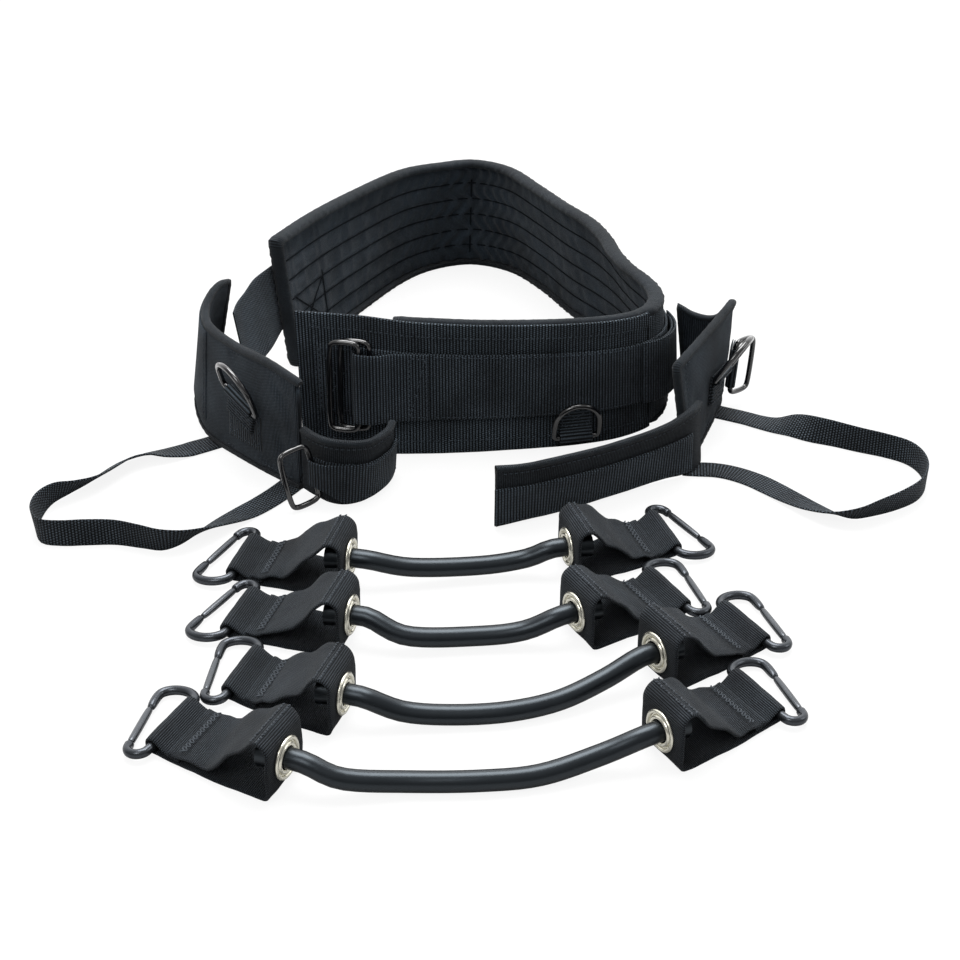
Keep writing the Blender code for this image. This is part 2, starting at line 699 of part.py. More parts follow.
def make_cuff(side, wrap_route, strap_route, stirrup_route, whole, finishes):
    """One ankle cuff's sewn pieces; returns its carrier and its two sheets."""
    cuff = empty("cuff_%s_frame" % side, (0, 0, 0), whole)
    wrap = sheet_of(wrap_route, CUFF_STEP)
    half = WRAP_THICKNESS / 2
    section = [(0, half), (0.5, half), (1, half), (1, -half), (0.5, -half), (0, -half)]
    piece("cuff_%s_wrap" % side, along_sheet(wrap, 0.0, float(wrap.last), section),
          finishes["neoprene"], cuff, origin=wrap.at(0, 0, 0))
    strap = sheet_of(strap_route, CUFF_STEP)
    floor_ribbon("cuff_%s_stirrup" % side, stirrup_route, finishes["webbing"], cuff)
    return cuff, wrap, strap


def make_left_cuff(whole, finishes):
    """Closed cuff: its rectangular ring's bar runs inside the closing strap's fold."""
    cuff, wrap, strap = make_cuff("left", LEFT_WRAP_ROUTE, LEFT_STRAP_ROUTE,
                                  LEFT_STIRRUP_ROUTE, whole, finishes)
    bore = RING_WIRE + PIN_GAP
    fold = 2 * (bore + FOLD_WALL)
    bar_at = strap.station(LEFT_RING_AT)
    start = strap.station(LEFT_FOLD_START)
    thin_from, thin_to = strap.station(LEFT_FOLD_THICK_TO), strap.station(LEFT_FOLD_END)

    def section(s):
        share = min(max((s - thin_from) / (thin_to - thin_from), 0.0), 1.0)
        front = fold + (STRAP_FRONT - fold) * share if s >= start else STRAP_SEAM
        low = LEFT_FOLD_FOOT + (STRAP_FRONT_FOOT - LEFT_FOLD_FOOT) * share
        return strap_section(front, low)

    rows = [*strap.stations(0.0, start - 0.02), *strap.stations(start, float(strap.last))]
    mesh = skin([[strap.at(s, w, d) for w, d in section(s)] for s in rows], climbing(section(0.0)))
    body = piece("cuff_left_strap", mesh, finishes["ribbed"], cuff, origin=strap.at(0, 0, 0))
    frame = strap.frame(bar_at, LEFT_RING_MIDDLE, STRAP_BACK / 2 + fold / 2,
                        turn=math.radians(LEFT_RING_TURN))
    drill(body, "ring_bar_cutter", bore, 2 * CUFF_RING_LENGTH,
          frame @ Matrix.Rotation(math.pi / 2, 4, "Y"))
    flat_ring("cuff_left_ring", CUFF_RING_LENGTH, CUFF_RING_REACH, finishes["gloss_wire"], cuff,
              frame @ Matrix.Rotation(math.radians(LEFT_RING_SWING), 4, "Z"))
    hang_d_ring("left", wrap, LEFT_D_AT, LEFT_D_MIDDLE, LEFT_D_TURN, LEFT_D_LEAN, cuff, finishes)


def make_right_cuff(whole, finishes):
    """Open cuff: both of its rings hang on tabs at the outside of the heel."""
    cuff, wrap, strap = make_cuff("right", RIGHT_WRAP_ROUTE, RIGHT_STRAP_ROUTE,
                                  RIGHT_STIRRUP_ROUTE, whole, finishes)
    end = strap.station(strap.walk[-1] - RIGHT_STRAP_BARE)

    def section(s):
        return strap_section(STRAP_FRONT if s < end else STRAP_SEAM, STRAP_FRONT_FOOT)

    rows = [*strap.stations(0.0, end - 0.02), *strap.stations(end, float(strap.last))]
    mesh = skin([[strap.at(s, w, d) for w, d in section(s)] for s in rows], climbing(section(0.0)))
    piece("cuff_right_strap", mesh, finishes["ribbed"], cuff, origin=strap.at(0, 0, 0))
    hang_d_ring("right", wrap, RIGHT_D_AT, RIGHT_D_MIDDLE, RIGHT_D_TURN, RIGHT_D_LEAN, cuff,
                finishes)
    heel = wrap.frame(wrap.station(RIGHT_RING_AT), RIGHT_RING_MIDDLE,
                      WRAP_THICKNESS / 2 + SEAT_GAP + TAB_RADIUS)
    ring_tab("cuff_right_ring_tab", CUFF_TAB_WIDTH, CUFF_TAB_TAIL, finishes["tab"], cuff,
             heel @ Matrix.Rotation(-math.pi / 2, 4, "Y"))
    flat_ring("cuff_right_ring", CUFF_RING_LENGTH, CUFF_RING_REACH, finishes["gloss_wire"], cuff,
              heel @ Matrix.Rotation(math.radians(RIGHT_RING_SWING), 4, "Z"))


def hang_d_ring(side, wrap, place, middle, turn, lean, cuff, finishes):
    """A cuff's D-ring on its tab, on the outside of the wrap."""
    s = wrap.station(place)
    out = WRAP_THICKNESS / 2 + SEAT_GAP + TAB_RADIUS
    turn, lean = math.radians(turn), math.radians(lean)
    d_ring("cuff_%s_d_ring" % side, CUFF_D_BAR, CUFF_D_DEPTH, finishes["gloss_wire"], cuff,
           wrap.frame(s, middle, out, turn, lean))
    ring_tab("cuff_%s_d_tab" % side, CUFF_TAB_WIDTH, CUFF_TAB_TAIL, finishes["tab"], cuff,
             wrap.frame(s, middle, out, turn), upward=False)


def loop_outline(reach):
    """Side view of a band's webbing loop: (distance from the end face, height), in metres."""
    eye = (reach, EYE_HEIGHT)
    seam = 2 * LOOP_WEBBING + 0.0012
    top = LOOP_HEIGHT
    slope = ((0.0120, 0.96), (0.0215, 0.80), (0.0320, 0.56), (0.0430, 0.33))
    outline = [(0.005, 0.0), (0.030, 0.0), (reach - 0.013, 0.0)]
    outline += list(arc(eye, EYE_HEIGHT, -90, 115, 8))
    outline += [(reach - 0.011, seam + 0.0010), (reach - 0.018, seam + 0.0015)]
    outline += [(a, top * share) for a, share in reversed(slope)]
    outline += [(0.006, top), (0.0015, top - 0.0035), (0.0, top - 0.009), (0.0, 0.009),
                (0.0015, 0.0035)]
    t = LOOP_WEBBING
    hollow = [(t + 0.004, t), (0.030, t), (reach - 0.023, t)]
    hollow += [(a - t * 0.5, top * share - t * 1.15) for a, share in reversed(slope)]
    hollow += [(0.0065, top - t), (t + 0.0008, top - 0.0045), (t, top - 0.0080), (t, t + 0.0055)]
    hole = list(arc(eye, EYE_RADIUS, 0, 324, 10))
    return outline, hollow, hole


def make_eyelet(name, material, parent):
    """Two-flange eyelet round the tube, turned about the end's x axis."""
    t = LOOP_WEBBING
    profile = ((-GAP - EYELET_RIM, EYELET_BORE + 0.0006), (-GAP - EYELET_RIM, EYELET_FLANGE - 0.001),
               (-GAP - 0.0006, EYELET_FLANGE), (-GAP, EYELET_FLANGE - 0.0006),
               (-GAP, EYELET_BARREL), (t + GAP, EYELET_BARREL), (t + GAP, EYELET_WASHER),
               (t + GAP + 0.0010, EYELET_WASHER), (t + GAP + 0.0010, EYELET_BORE),
               (-GAP - EYELET_RIM + 0.0006, EYELET_BORE))
    sides = 16
    rows = []
    for k in range(sides):
        a = 2 * math.pi * k / sides
        rows.append([Vector((x, r * math.cos(a), r * math.sin(a))) for x, r in profile])
    mesh = skin(rows, [True] * len(profile), ring=True)
    made = piece(name, mesh, material, parent, smooth=35)
    made.location = (0, 0, TUBE_HEIGHT)


def carabiner_side(y):
    """Centre of the carabiner's sloping side, where its gate is, at a distance y along it."""
    first = -CARABINER_LENGTH / 2 + CARABINER_NARROW / 2
    last = CARABINER_LENGTH / 2 - CARABINER_CROWN
    share = (y - first) / (last - first)
    return Vector((CARABINER_NARROW + (CARABINER_WIDE - CARABINER_NARROW) * share, y, 0))


def carabiner_track():
    """Centre line of a carabiner's body in its own x-y plane, from the gate's foot to its nose."""
    half = CARABINER_LENGTH / 2
    small, wide = CARABINER_NARROW / 2, CARABINER_WIDE / 2
    points = [carabiner_side(GATE_FOOT - GATE_WIRE - GATE_GAP)]
    points += [Vector((x, y, 0)) for x, y in arc((small, -half + small), small, 0, -180, 7)]
    for k in range(8):
        a = math.pi * (1 - k / 7)
        points.append(Vector((wide + wide * math.cos(a),
                              half - CARABINER_CROWN + CARABINER_CROWN * math.sin(a), 0)))
    points.append(carabiner_side(GATE_TIP + GATE_GAP))
    return points


def make_band_end(name, x, y, heading, drift, reach, wide_side, band, finishes):
    """Webbing loop, eyelet, carabiner and its gate at one end of a band."""
    end = empty(name + "_frame", (x * MM, y * MM, 0), band, math.radians(heading))
    reach *= MM
    lean = drift * MM / reach
    outline, hollow, hole = loop_outline(reach)

    def place(a, z, share):
        pinch = max(0.0, 1 - a / (0.5 * reach)) * (1 + 0.7 * (2 * z / LOOP_HEIGHT - 1) ** 2)
        return Vector((a, share * (LOOP_WIDTH - LOOP_NARROWING * pinch) + lean * a, z))

    loop = piece(name + "_loop", cut_out(outline, [hollow, hole], -0.5, 0.5, place),
                 finishes["webbing"], end)
    drill(loop, name + "_hole_cutter", EYELET_BARREL + GAP, 4 * LOOP_WEBBING,
          Matrix.Translation((LOOP_WEBBING / 2, 0, TUBE_HEIGHT)))
    make_eyelet(name + "_eyelet", finishes["eyelet"], end)
    droop = math.asin((EYE_HEIGHT - CARABINER_WIRE - GAP) / CARABINER_WIDE)
    hang = Matrix.Translation((reach, drift * MM, EYE_HEIGHT)) @ Matrix.Rotation(droop, 4, "Y")
    if wide_side < 0:
        hang = hang @ Matrix.Rotation(math.pi, 4, "X")
    body = piece(name + "_carabiner", wire(carabiner_track(), CARABINER_WIRE),
                 finishes["carabiner"], end, frame=hang, smooth=70)
    foot = carabiner_side(GATE_FOOT)
    along = carabiner_side(GATE_TIP) - foot
    r = GATE_WIRE
    steps = (-r, -r * 0.6, 0.0, along.length - 0.001, along.length)
    shares = (0.35, 0.8, 1.0, 1.0, 0.7)
    gate = wire([along.normalized() * step for step in steps], r,
                radii=[r * share for share in shares])
    made = piece(name + "_gate", gate, finishes["gate"], body, smooth=70)
    made.location = foot


def make_band(number, left, right, middle, whole, finishes):
    """One resistance band: a tube with a loop, an eyelet and a carabiner at both ends."""
    name = "band_%d" % number
    band = empty(name + "_frame", (0, 0, 0), whole)
    make_band_end(name + "_left", *left, band, finishes)
    make_band_end(name + "_right", *right, band, finishes)
    route = []
    for (x, y, heading, *_), steps in ((left, (14, 8, 0, -12)), (right, (-12, 0, 8, 14))):
        ahead = Vector((math.cos(math.radians(heading)), math.sin(math.radians(heading)), 0))
        spots = [Vector((x, y, TUBE_HEIGHT / MM)) * MM + ahead * step * MM for step in steps]
        route.append(spots)
    points = route[0] + [Vector(spot) * MM for spot in middle] + route[1]
    (points,) = even_steps((points,), TUBE_STEP)
    curve = bpy.data.curves.new(name + "_tube", "CURVE")
    curve.dimensions = "3D"
    curve.bevel_depth = TUBE_RADIUS
    curve.bevel_resolution = 2
    curve.use_fill_caps = True
    spline = curve.splines.new("POLY")
    spline.points.add(len(points) - 1)
    start = points[0]
    for dot, point in zip(spline.points, points):
        dot.co = (*(point - start), 1.0)
    spline.points[0].radius = TUBE_KNOB
    spline.points[-1].radius = TUBE_KNOB
    curve.materials.append(finishes["tube"])
    tube = bpy.data.objects.new(name + "_tube", curve)
    tube.location = start
    tube.parent = band
    bpy.context.collection.objects.link(tube)


def main():
    """Clear the file and build the whole set."""
    for old in list(bpy.data.objects):
        bpy.data.objects.remove(old, do_unlink=True)
    finishes = {
        "lining": finish("quilted_lining", (0.030, 0.034, 0.042), 0.85),
        "ribbed": finish("ribbed_cloth", (0.022, 0.023, 0.026), 0.80),
        "binding": finish("edge_binding", (0.042, 0.046, 0.055), 0.80),
        "webbing": finish("black_webbing", (0.024, 0.025, 0.030), 0.75),
        "tab": finish("tab_webbing", (0.020, 0.021, 0.023), 0.80),
        "neoprene": finish("cuff_neoprene", (0.032, 0.035, 0.038), 0.90),
        "gloss_wire": finish("black_gloss_wire", (0.030, 0.030, 0.032), 0.18, 0.6),
        "carabiner": finish("grey_carabiner", (0.075, 0.085, 0.100), 0.35, 0.8),
        "gate": finish("grey_gate", (0.100, 0.110, 0.125), 0.35, 0.8),
        "eyelet": finish("silver_eyelet", (0.720, 0.700, 0.620), 0.30, 1.0),
        "tube": finish("rubber_tube", (0.028, 0.030, 0.033), 0.45),
    }
    whole = empty("harness_frame", (-LAYOUT_MIDDLE[0] * MM, -LAYOUT_MIDDLE[1] * MM, 0))
    make_belt(whole, finishes)
    make_left_cuff(whole, finishes)
    make_right_cuff(whole, finishes)
    for number, (left, right, middle) in enumerate(BANDS, start=1):
        make_band(number, left, right, middle, whole, finishes)


main()
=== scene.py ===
# %% [markdown]
# # A jump training harness
# The set is a padded waist belt, two ankle cuffs with foot straps and four elastic bands.
# The rigid CAD frame gives every size and place. This lesson dresses it: each soft piece is
# sewn anew over its plain solid, and each metal piece gets a rounder, glossier copy.

# %% Load the frame
import json
import math
import bmesh
import bpy
import numpy as np
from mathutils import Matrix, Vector


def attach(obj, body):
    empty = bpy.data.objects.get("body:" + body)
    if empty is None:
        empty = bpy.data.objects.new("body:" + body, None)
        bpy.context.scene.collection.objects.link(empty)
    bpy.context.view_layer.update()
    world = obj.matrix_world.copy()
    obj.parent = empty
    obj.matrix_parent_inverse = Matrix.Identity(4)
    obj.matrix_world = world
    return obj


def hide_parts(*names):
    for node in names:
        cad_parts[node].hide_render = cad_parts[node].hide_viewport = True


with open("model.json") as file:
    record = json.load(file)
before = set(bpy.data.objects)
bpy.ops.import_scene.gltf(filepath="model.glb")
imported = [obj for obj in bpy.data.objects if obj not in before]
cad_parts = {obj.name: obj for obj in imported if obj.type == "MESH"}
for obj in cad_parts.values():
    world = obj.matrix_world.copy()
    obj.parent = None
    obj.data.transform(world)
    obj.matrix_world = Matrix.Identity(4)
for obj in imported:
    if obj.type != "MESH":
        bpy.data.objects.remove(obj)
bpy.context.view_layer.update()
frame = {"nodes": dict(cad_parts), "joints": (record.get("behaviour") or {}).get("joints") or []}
hinges = {joint["name"]: joint for joint in frame["joints"]}


def placed(name, data):
    """A new object for a mesh, curve, lamp or camera, put into the scene."""
    thing = bpy.data.objects.new(name, data)
    bpy.context.collection.objects.link(thing)
    return thing


# %% [markdown]
# ## The camera
# The set is seen from the front and from above, at the height of someone kneeling before
# it. The lens is long, so that near and far pieces keep nearly the same size. The place
# was found by matching the belt's upright edges and the floor line in the photograph. The
# routes below were drawn on that floor; MIDDLE moves their origin to the set's middle.

# %% Camera
MIDDLE = Vector((0.00515, -0.00255, 0.0))
eye = placed("camera", bpy.data.cameras.new("camera"))
eye.data.lens = 71.25
eye.data.sensor_width = 36.0
eye.location = Vector((0.0, -1.13, 0.642)) - MIDDLE
eye.rotation_euler = (math.radians(60.0), 0.0, 0.0)
bpy.context.scene.camera = eye
print("camera at", tuple(round(v, 3) for v in eye.location))

# %% [markdown]
# ## Routes
# A strap that stands on its edge is easiest to describe from above. Each row gives the top
# edge and the foot of the strap at one place, in millimetres, and a smooth curve joins the
# rows. These are the same rows that the frame was built from, so the cloth fits the solids.

# %% Routes of the belt and the cuffs
MM = 0.001
OFFSET = np.array([*MIDDLE])
BELT_HEIGHT = 0.100
BELT_ROUTE = (
    ((-125, 40), (-122, 27)), ((-100, 36), (-99, 24)), ((-75, 31), (-75, 21)),
    ((-50, 23), (-50, 20)), ((-25, 19), (-25, 21)), ((0, 17), (0, 23)), ((30, 17), (30, 27)),
    ((60, 19), (62, 32)), ((88, 24), (92, 41)), ((108, 33), (114, 55)), ((121, 51), (128, 75)),
    ((123, 73), (134, 99)), ((117, 94), (136, 122)), ((107, 115), (134, 142)),
    ((99, 140), (128, 163)), ((94, 168), (117, 186)), ((84, 200), (101, 211)),
    ((65, 233), (80, 243)), ((46, 269), (57, 292)), ((24, 308), (30, 332)),
    ((-4, 325), (-6, 350)), ((-31, 319), (-42, 338)), ((-64, 302), (-70, 308)),
    ((-102, 253), (-98, 257)), ((-130, 209), (-121, 209)), ((-154, 161), (-142, 151)),
)
TAIL_ROUTE = (
    ((-164, 140, 78), (-153, 131, 27)), ((-169, 121, 76), (-160, 111, 24)),
    ((-173, 104, 75), (-164, 94, 22)), ((-174, 88, 75), (-164, 78, 21)),
)
LEFT_WRAP_ROUTE = (
    ((-176, 102, 96), (-190, 106, 26)), ((-184, 88, 97), (-198, 92, 22)),
    ((-189, 72, 92), (-201, 74, 15)), ((-188, 55, 88), (-196, 54, 7)),
    ((-180, 38, 87), (-185, 35, 3)), ((-162, 14, 87), (-166, 14, 2.2)),
    ((-140, -12, 89), (-140, -12, 2)), ((-116, -36, 85), (-117, -32, 2)),
)
LEFT_STRAP_ROUTE = (
    ((-116.05, -34.65, 50), (-116.65, -32.35, 2)), ((-111, -41, 50), (-112, -37, 2)),
    ((-103, -49, 50), (-104, -44, 0.4)), ((-94, -53, 50), (-95, -49, 0.2)),
    ((-82, -53, 49), (-86, -49, 0.1)), ((-72, -49, 48), (-76, -43, 0.1)),
    ((-65, -41, 48), (-68, -31, 0.1)), ((-60, -32, 48), (-63, -20, 1)),
    ((-58, -22, 48), (-61, -8, 3)),
)
RIGHT_STRAP_ROUTE = (
    ((10, -84, 48), (10, -78, 0.1)), ((30, -79, 47), (30, -69, 0.1)),
    ((55, -68, 47), (52, -59, 0.1)), ((80, -56, 47), (78, -44, 0.2)),
    ((105, -42, 48), (104, -29, 0.8)), ((123, -30, 49), (122, -20, 2)),
    ((133, -20, 50), (134, -15, 2)), ((141, -11, 51), (143, -9, 2)), ((147, 1, 51), (150, 4, 2)),
)
RIGHT_WRAP_ROUTE = (
    ((129, 3, 76), (140, -5, 2)), ((138, 16, 79), (146, 12, 2)), ((152, 38, 83), (155, 38, 2)),
    ((165, 61, 86), (164, 64, 2)), ((176, 82, 88), (171, 86, 2)), ((176, 95, 80), (173, 98, 2)),
    ((166, 103, 66), (167, 107, 2)), ((152, 107, 67), (158, 111, 2)),
    ((140, 110, 74), (149, 113, 2)),
)
LEFT_STIRRUP_ROUTE = (
    (-176, 40, 0), (-189, 31, 0), (-203, 22, 0), (-217, 14, 12), (-230, 8, 28), (-243, -3, 34),
    (-258, -27, 38), (-270, -41, 52), (-281, -52, 75), (-287, -67, 95), (-287, -84, 98),
    (-280, -99, 92), (-266, -102, 88), (-250, -101, 86), (-232, -101, 90), (-215, -106, 96),
    (-201, -110, 104), (-188, -105, 124), (-176, -92, 146), (-165, -77, 165), (-154, -63, 178),
    (-144, -51, 180), (-136, -40, 180), (-129, -29, 180), (-123, -18, 180),
)
RIGHT_STIRRUP_ROUTE = (
    (161, 84, 0), (172, 78, 0), (184, 72, 0), (196, 65, 0), (208, 57, 8), (220, 49, 35),
    (232, 38, 62), (246, 30, 78), (262, 21, 85), (280, 12, 90), (293, 2, 90), (299, -13, 90),
    (298, -30, 88), (290, -47, 82), (275, -60, 74), (257, -70, 64), (243, -75, 50),
    (230, -71, 30), (218, -59, 14), (206, -44, 4), (194, -29, 0), (183, -18, 0), (171, -10, 0),
    (160, -6, 0), (149, -5, 0), (138, -4, 0),
)
BANDS = (
    ((-80, -145, 167, -6.5, 71), (54.5, -132, 17.5, 17, 71),
     ((-42, -146, 12), (0, -140, 9.5), (28, -136, 12))),
    ((-76, -207.5, 164, -4, 71), (56, -204, 28, 11, 71),
     ((-42, -217, 10), (0, -214, 8), (26, -212, 10.5))),
    ((-75, -284.5, 162, -18.5, 69), (100, -245, 30, 12.5, 72),
     ((-42, -289, 9.5), (-14, -288, 6.5), (16, -285, 6.5), (44, -276, 7.5), (70, -262, 12))),
    ((-102, -340.5, 156, -14.5, 79), (97, -317.5, 30, 14, 75),
     ((-72, -349, 11), (-38, -346, 6.7), (0, -345, 6.4), (32, -340, 6.4), (64, -329, 11))),
)
print("routes:", len(BELT_ROUTE), "belt rows,", len(BANDS), "bands")

# %% [markdown]
# ## Curves and walls
# A smooth curve through the rows gives stations at even steps. A wall holds those stations
# and answers one question: where is the point this far along, this high and this far out?
# Every cloth piece below asks its wall for points, so all layers stay nested.

# %% Smooth curves
def running(steps):
    """The running total of some steps, from zero."""
    return np.concatenate([[0.0], np.cumsum(steps)])


def walked(points):
    """The distance walked along a line of points at each of them."""
    return running(np.linalg.norm(np.diff(points, axis=0), axis=1))


def bend_through(points, t):
    """Points of a smooth curve through the rows, at t counted in rows."""
    last = len(points) - 1
    i = np.clip(np.floor(t).astype(int), 0, last - 1)
    f = (t - i)[:, None]
    spread = np.vstack([2 * points[0] - points[1], points, 2 * points[last] - points[last - 1]])
    before, a, b, after = spread[i], spread[i + 1], spread[i + 2], spread[i + 3]
    return 0.5 * (2 * a + (b - before) * f + (2 * before - 5 * a + 4 * b - after) * f ** 2
                  + (3 * a - 3 * b + after - before) * f ** 3)


def even_steps(tracks, step):
    """Walk several tracks side by side at even steps of the first."""
    fine = 24
    stops = np.arange((len(tracks[0]) - 1) * fine + 1) / fine
    way = walked(bend_through(tracks[0], stops))
    count = max(2, round(way[-1] / step))
    places = np.interp(way[-1] * np.arange(count + 1) / count, way, stops)
    return [bend_through(track, places) for track in tracks]


print("curve helpers ready")

# %% Upright walls
class Wall:
    """A strap standing on its edge, from its foot to its top edge."""

    def __init__(self, route, step, height=None):
        top, foot = (np.array([row[end] for row in route], float) * MM for end in (0, 1))
        if height is not None:
            top, foot = (np.column_stack([edge, np.full(len(edge), z)])
                         for edge, z in ((top, height), (foot, 0.0)))
        _, self.foot, self.top = even_steps(
            ((foot + top) / 2 - OFFSET, foot - OFFSET, top - OFFSET), step)
        self.walk = walked((self.foot + self.top) / 2)
        self.length = self.walk[-1]

    def at(self, along, share, out=0.0):
        """Points this far along, at this share of the height and this far outward."""
        along, share, out = np.broadcast_arrays(np.asarray(along, float), share, out)
        flat = along.ravel()
        s = np.interp(flat, self.walk, np.arange(len(self.walk)))
        s = s + np.minimum(flat, 0.0) / self.walk[1]
        foot, top = bend_through(self.foot, s), bend_through(self.top, s)
        a = np.clip(s - 0.05, 0, len(self.walk) - 1)
        ahead = sum(bend_through(e, a + 0.1) - bend_through(e, a) for e in (self.foot, self.top))
        side = np.stack([ahead[:, 1], -ahead[:, 0], 0 * s], axis=1)
        side /= np.linalg.norm(side, axis=1)[:, None]
        spot = foot + (top - foot) * share.ravel()[:, None] + side * out.ravel()[:, None]
        return spot.reshape(*along.shape, 3)


belt = Wall(BELT_ROUTE, 0.015, BELT_HEIGHT)
left_wrap, left_strap = Wall(LEFT_WRAP_ROUTE, 0.012), Wall(LEFT_STRAP_ROUTE, 0.012)
right_wrap, right_strap = Wall(RIGHT_WRAP_ROUTE, 0.012), Wall(RIGHT_STRAP_ROUTE, 0.012)
print("belt length %.3f m, cuff wraps %.3f and %.3f m"
      % (belt.length, left_wrap.length, right_wrap.length))

# %% [markdown]
# ## Materials
# Cloth is judged by its weave. The ribs of the belt's cloth are about 2 mm apart, and each
# rib is a row of small beads where the crossing threads dip. One node group makes that
# height pattern from a position in metres, and another adds the uneven fade and lint of
# black cloth. Each material places them with its own values.

# %% Small helpers for shader nodes
def wire_up(tree, kind, x, y, dials=None, **choices):
    """Add a node, place it, make its choices and set the values of its inputs."""
    node = tree.nodes.new(kind)
    node.location = (x, y)
    for key, value in choices.items():
        setattr(node, key, value)
    dial(node, dials or {})
    return node


def dial(node, values):
    """Set the values of a node's inputs, by name or number."""
    for label, value in values.items():
        node.inputs[label].default_value = value


def maths(tree, action, a, b=None, x=0, y=0, clamp=False):
    """A Math node whose inputs are sockets or numbers."""
    node = wire_up(tree, "ShaderNodeMath", x, y, operation=action, use_clamp=clamp)
    for socket, value in zip(node.inputs, (a, b)):
        if hasattr(value, "is_output"):
            tree.links.new(value, socket)
        elif value is not None:
            socket.default_value = value
    return node.outputs[0]


def new_group(name, values, outputs):
    """A shader node group that takes a position and some values and gives other values."""
    tree = bpy.data.node_groups.new(name, "ShaderNodeTree")
    tree.interface.new_socket("Vector", in_out="INPUT", socket_type="NodeSocketVector")
    for label, value in values.items():
        socket = tree.interface.new_socket(label, in_out="INPUT", socket_type="NodeSocketFloat")
        socket.default_value = value
    for label in outputs:
        tree.interface.new_socket(label, in_out="OUTPUT", socket_type="NodeSocketFloat")
    return tree, wire_up(tree, "NodeGroupInput", -900, 0), wire_up(tree, "NodeGroupOutput", 900, 0)


print("shader helpers ready")

# %% Group: ribs with crossing threads
def make_ribbed_weave():
    """Height of ribs, each a row of beads, and Shade: painted shade between the ribs and painted
    highlight on the beads; every other rib is shifted by half a bead.
    """
    tree, given, result = new_group("ribbed_weave", {"Rib Pitch": 0.0015, "Bead Pitch": 0.0012,
                                                     "Bead Share": 0.4}, ("Height", "Shade"))
    parts = wire_up(tree, "ShaderNodeSeparateXYZ", -700, 0)
    tree.links.new(given.outputs["Vector"], parts.inputs[0])
    across = maths(tree, "DIVIDE", parts.outputs[0], given.outputs["Rib Pitch"], -520, 120)
    along = maths(tree, "DIVIDE", parts.outputs[1], given.outputs["Bead Pitch"], -520, -120)
    half = maths(tree, "MULTIPLY", maths(tree, "FLOOR", across, None, -360, 0), 0.5, -200, 0)
    rib = maths(tree, "SINE", maths(tree, "MULTIPLY", maths(
        tree, "FRACT", across, None, -360, 200), math.pi, -200, 200), None, -40, 200)
    bead = maths(tree, "SINE", maths(tree, "MULTIPLY", maths(
        tree, "FRACT", maths(tree, "ADD", along, half, -200, -120), None, -40, -120),
        math.pi, 120, -120), None, 280, -120)
    dip = maths(tree, "MULTIPLY", maths(tree, "SUBTRACT", 1.0, bead, 420, -60),
                given.outputs["Bead Share"], 560, -60)
    height = maths(tree, "SUBTRACT", rib, dip, 700, 100, clamp=True)
    tree.links.new(height, result.inputs["Height"])
    # Shade: painted highlight on the crests and beads, painted shade in the gaps between ribs
    tree.links.new(maths(tree, "POWER", height, 2.0, 700, -100), result.inputs["Shade"])
    return tree


ribbed_weave = make_ribbed_weave()
print("node group:", ribbed_weave.name)

# %% Group: uneven fade and lint
def make_cloth_fade():
    """Broad fading, fine fuzz and sparse specks of lint, as masks from 0 to 1."""
    tree, given, result = new_group("cloth_fade", {"Broad Scale": 30.0, "Fuzz Scale": 1400.0},
                                    ("Fade", "Fuzz", "Lint"))
    for label, size, detail, y in (("Fade", "Broad Scale", 4.0, 200),
                                   ("Fuzz", "Fuzz Scale", 3.0, -50)):
        cloud = wire_up(tree, "ShaderNodeTexNoise", -500, y, {"Detail": detail})
        tree.links.new(given.outputs["Vector"], cloud.inputs["Vector"])
        tree.links.new(given.outputs[size], cloud.inputs["Scale"])
        tree.links.new(cloud.outputs[0], result.inputs[label])
    specks = wire_up(tree, "ShaderNodeTexVoronoi", -500, -300, {"Scale": 260.0})
    tree.links.new(given.outputs["Vector"], specks.inputs["Vector"])
    lint = maths(tree, "LESS_THAN", specks.outputs["Distance"], 0.07, -200, -300)
    tree.links.new(lint, result.inputs["Lint"])
    return tree


cloth_fade = make_cloth_fade()
print("node group:", cloth_fade.name)

# %% [markdown]
# A cloth material reads the weave from the UV map, which every strap stores in metres, so
# the ribs follow the strap round its bends. The weave's pattern sets the colour: painted
# shade between the ribs, where the crossing threads dip, and painted highlight on the crests
# and beads. The same pattern lifts the surface through a Bump node. A little sheen gives the
# pale rim that black cloth shows where it turns away.

# %% Cloth materials
def painted(name, dials):
    """A new material, its tree and its Principled shader with the given values."""
    material = bpy.data.materials.new(name)
    material.use_nodes = True
    shader = material.node_tree.nodes["Principled BSDF"]
    dial(shader, dials)
    return material, material.node_tree, shader


def blend(tree, x, y, first, second):
    """A colour mix between two colours; its factor is input 0 and its colour output 2."""
    return wire_up(tree, "ShaderNodeMix", x, y, {6: (*first, 1), 7: (*second, 1)},
                   data_type="RGBA")


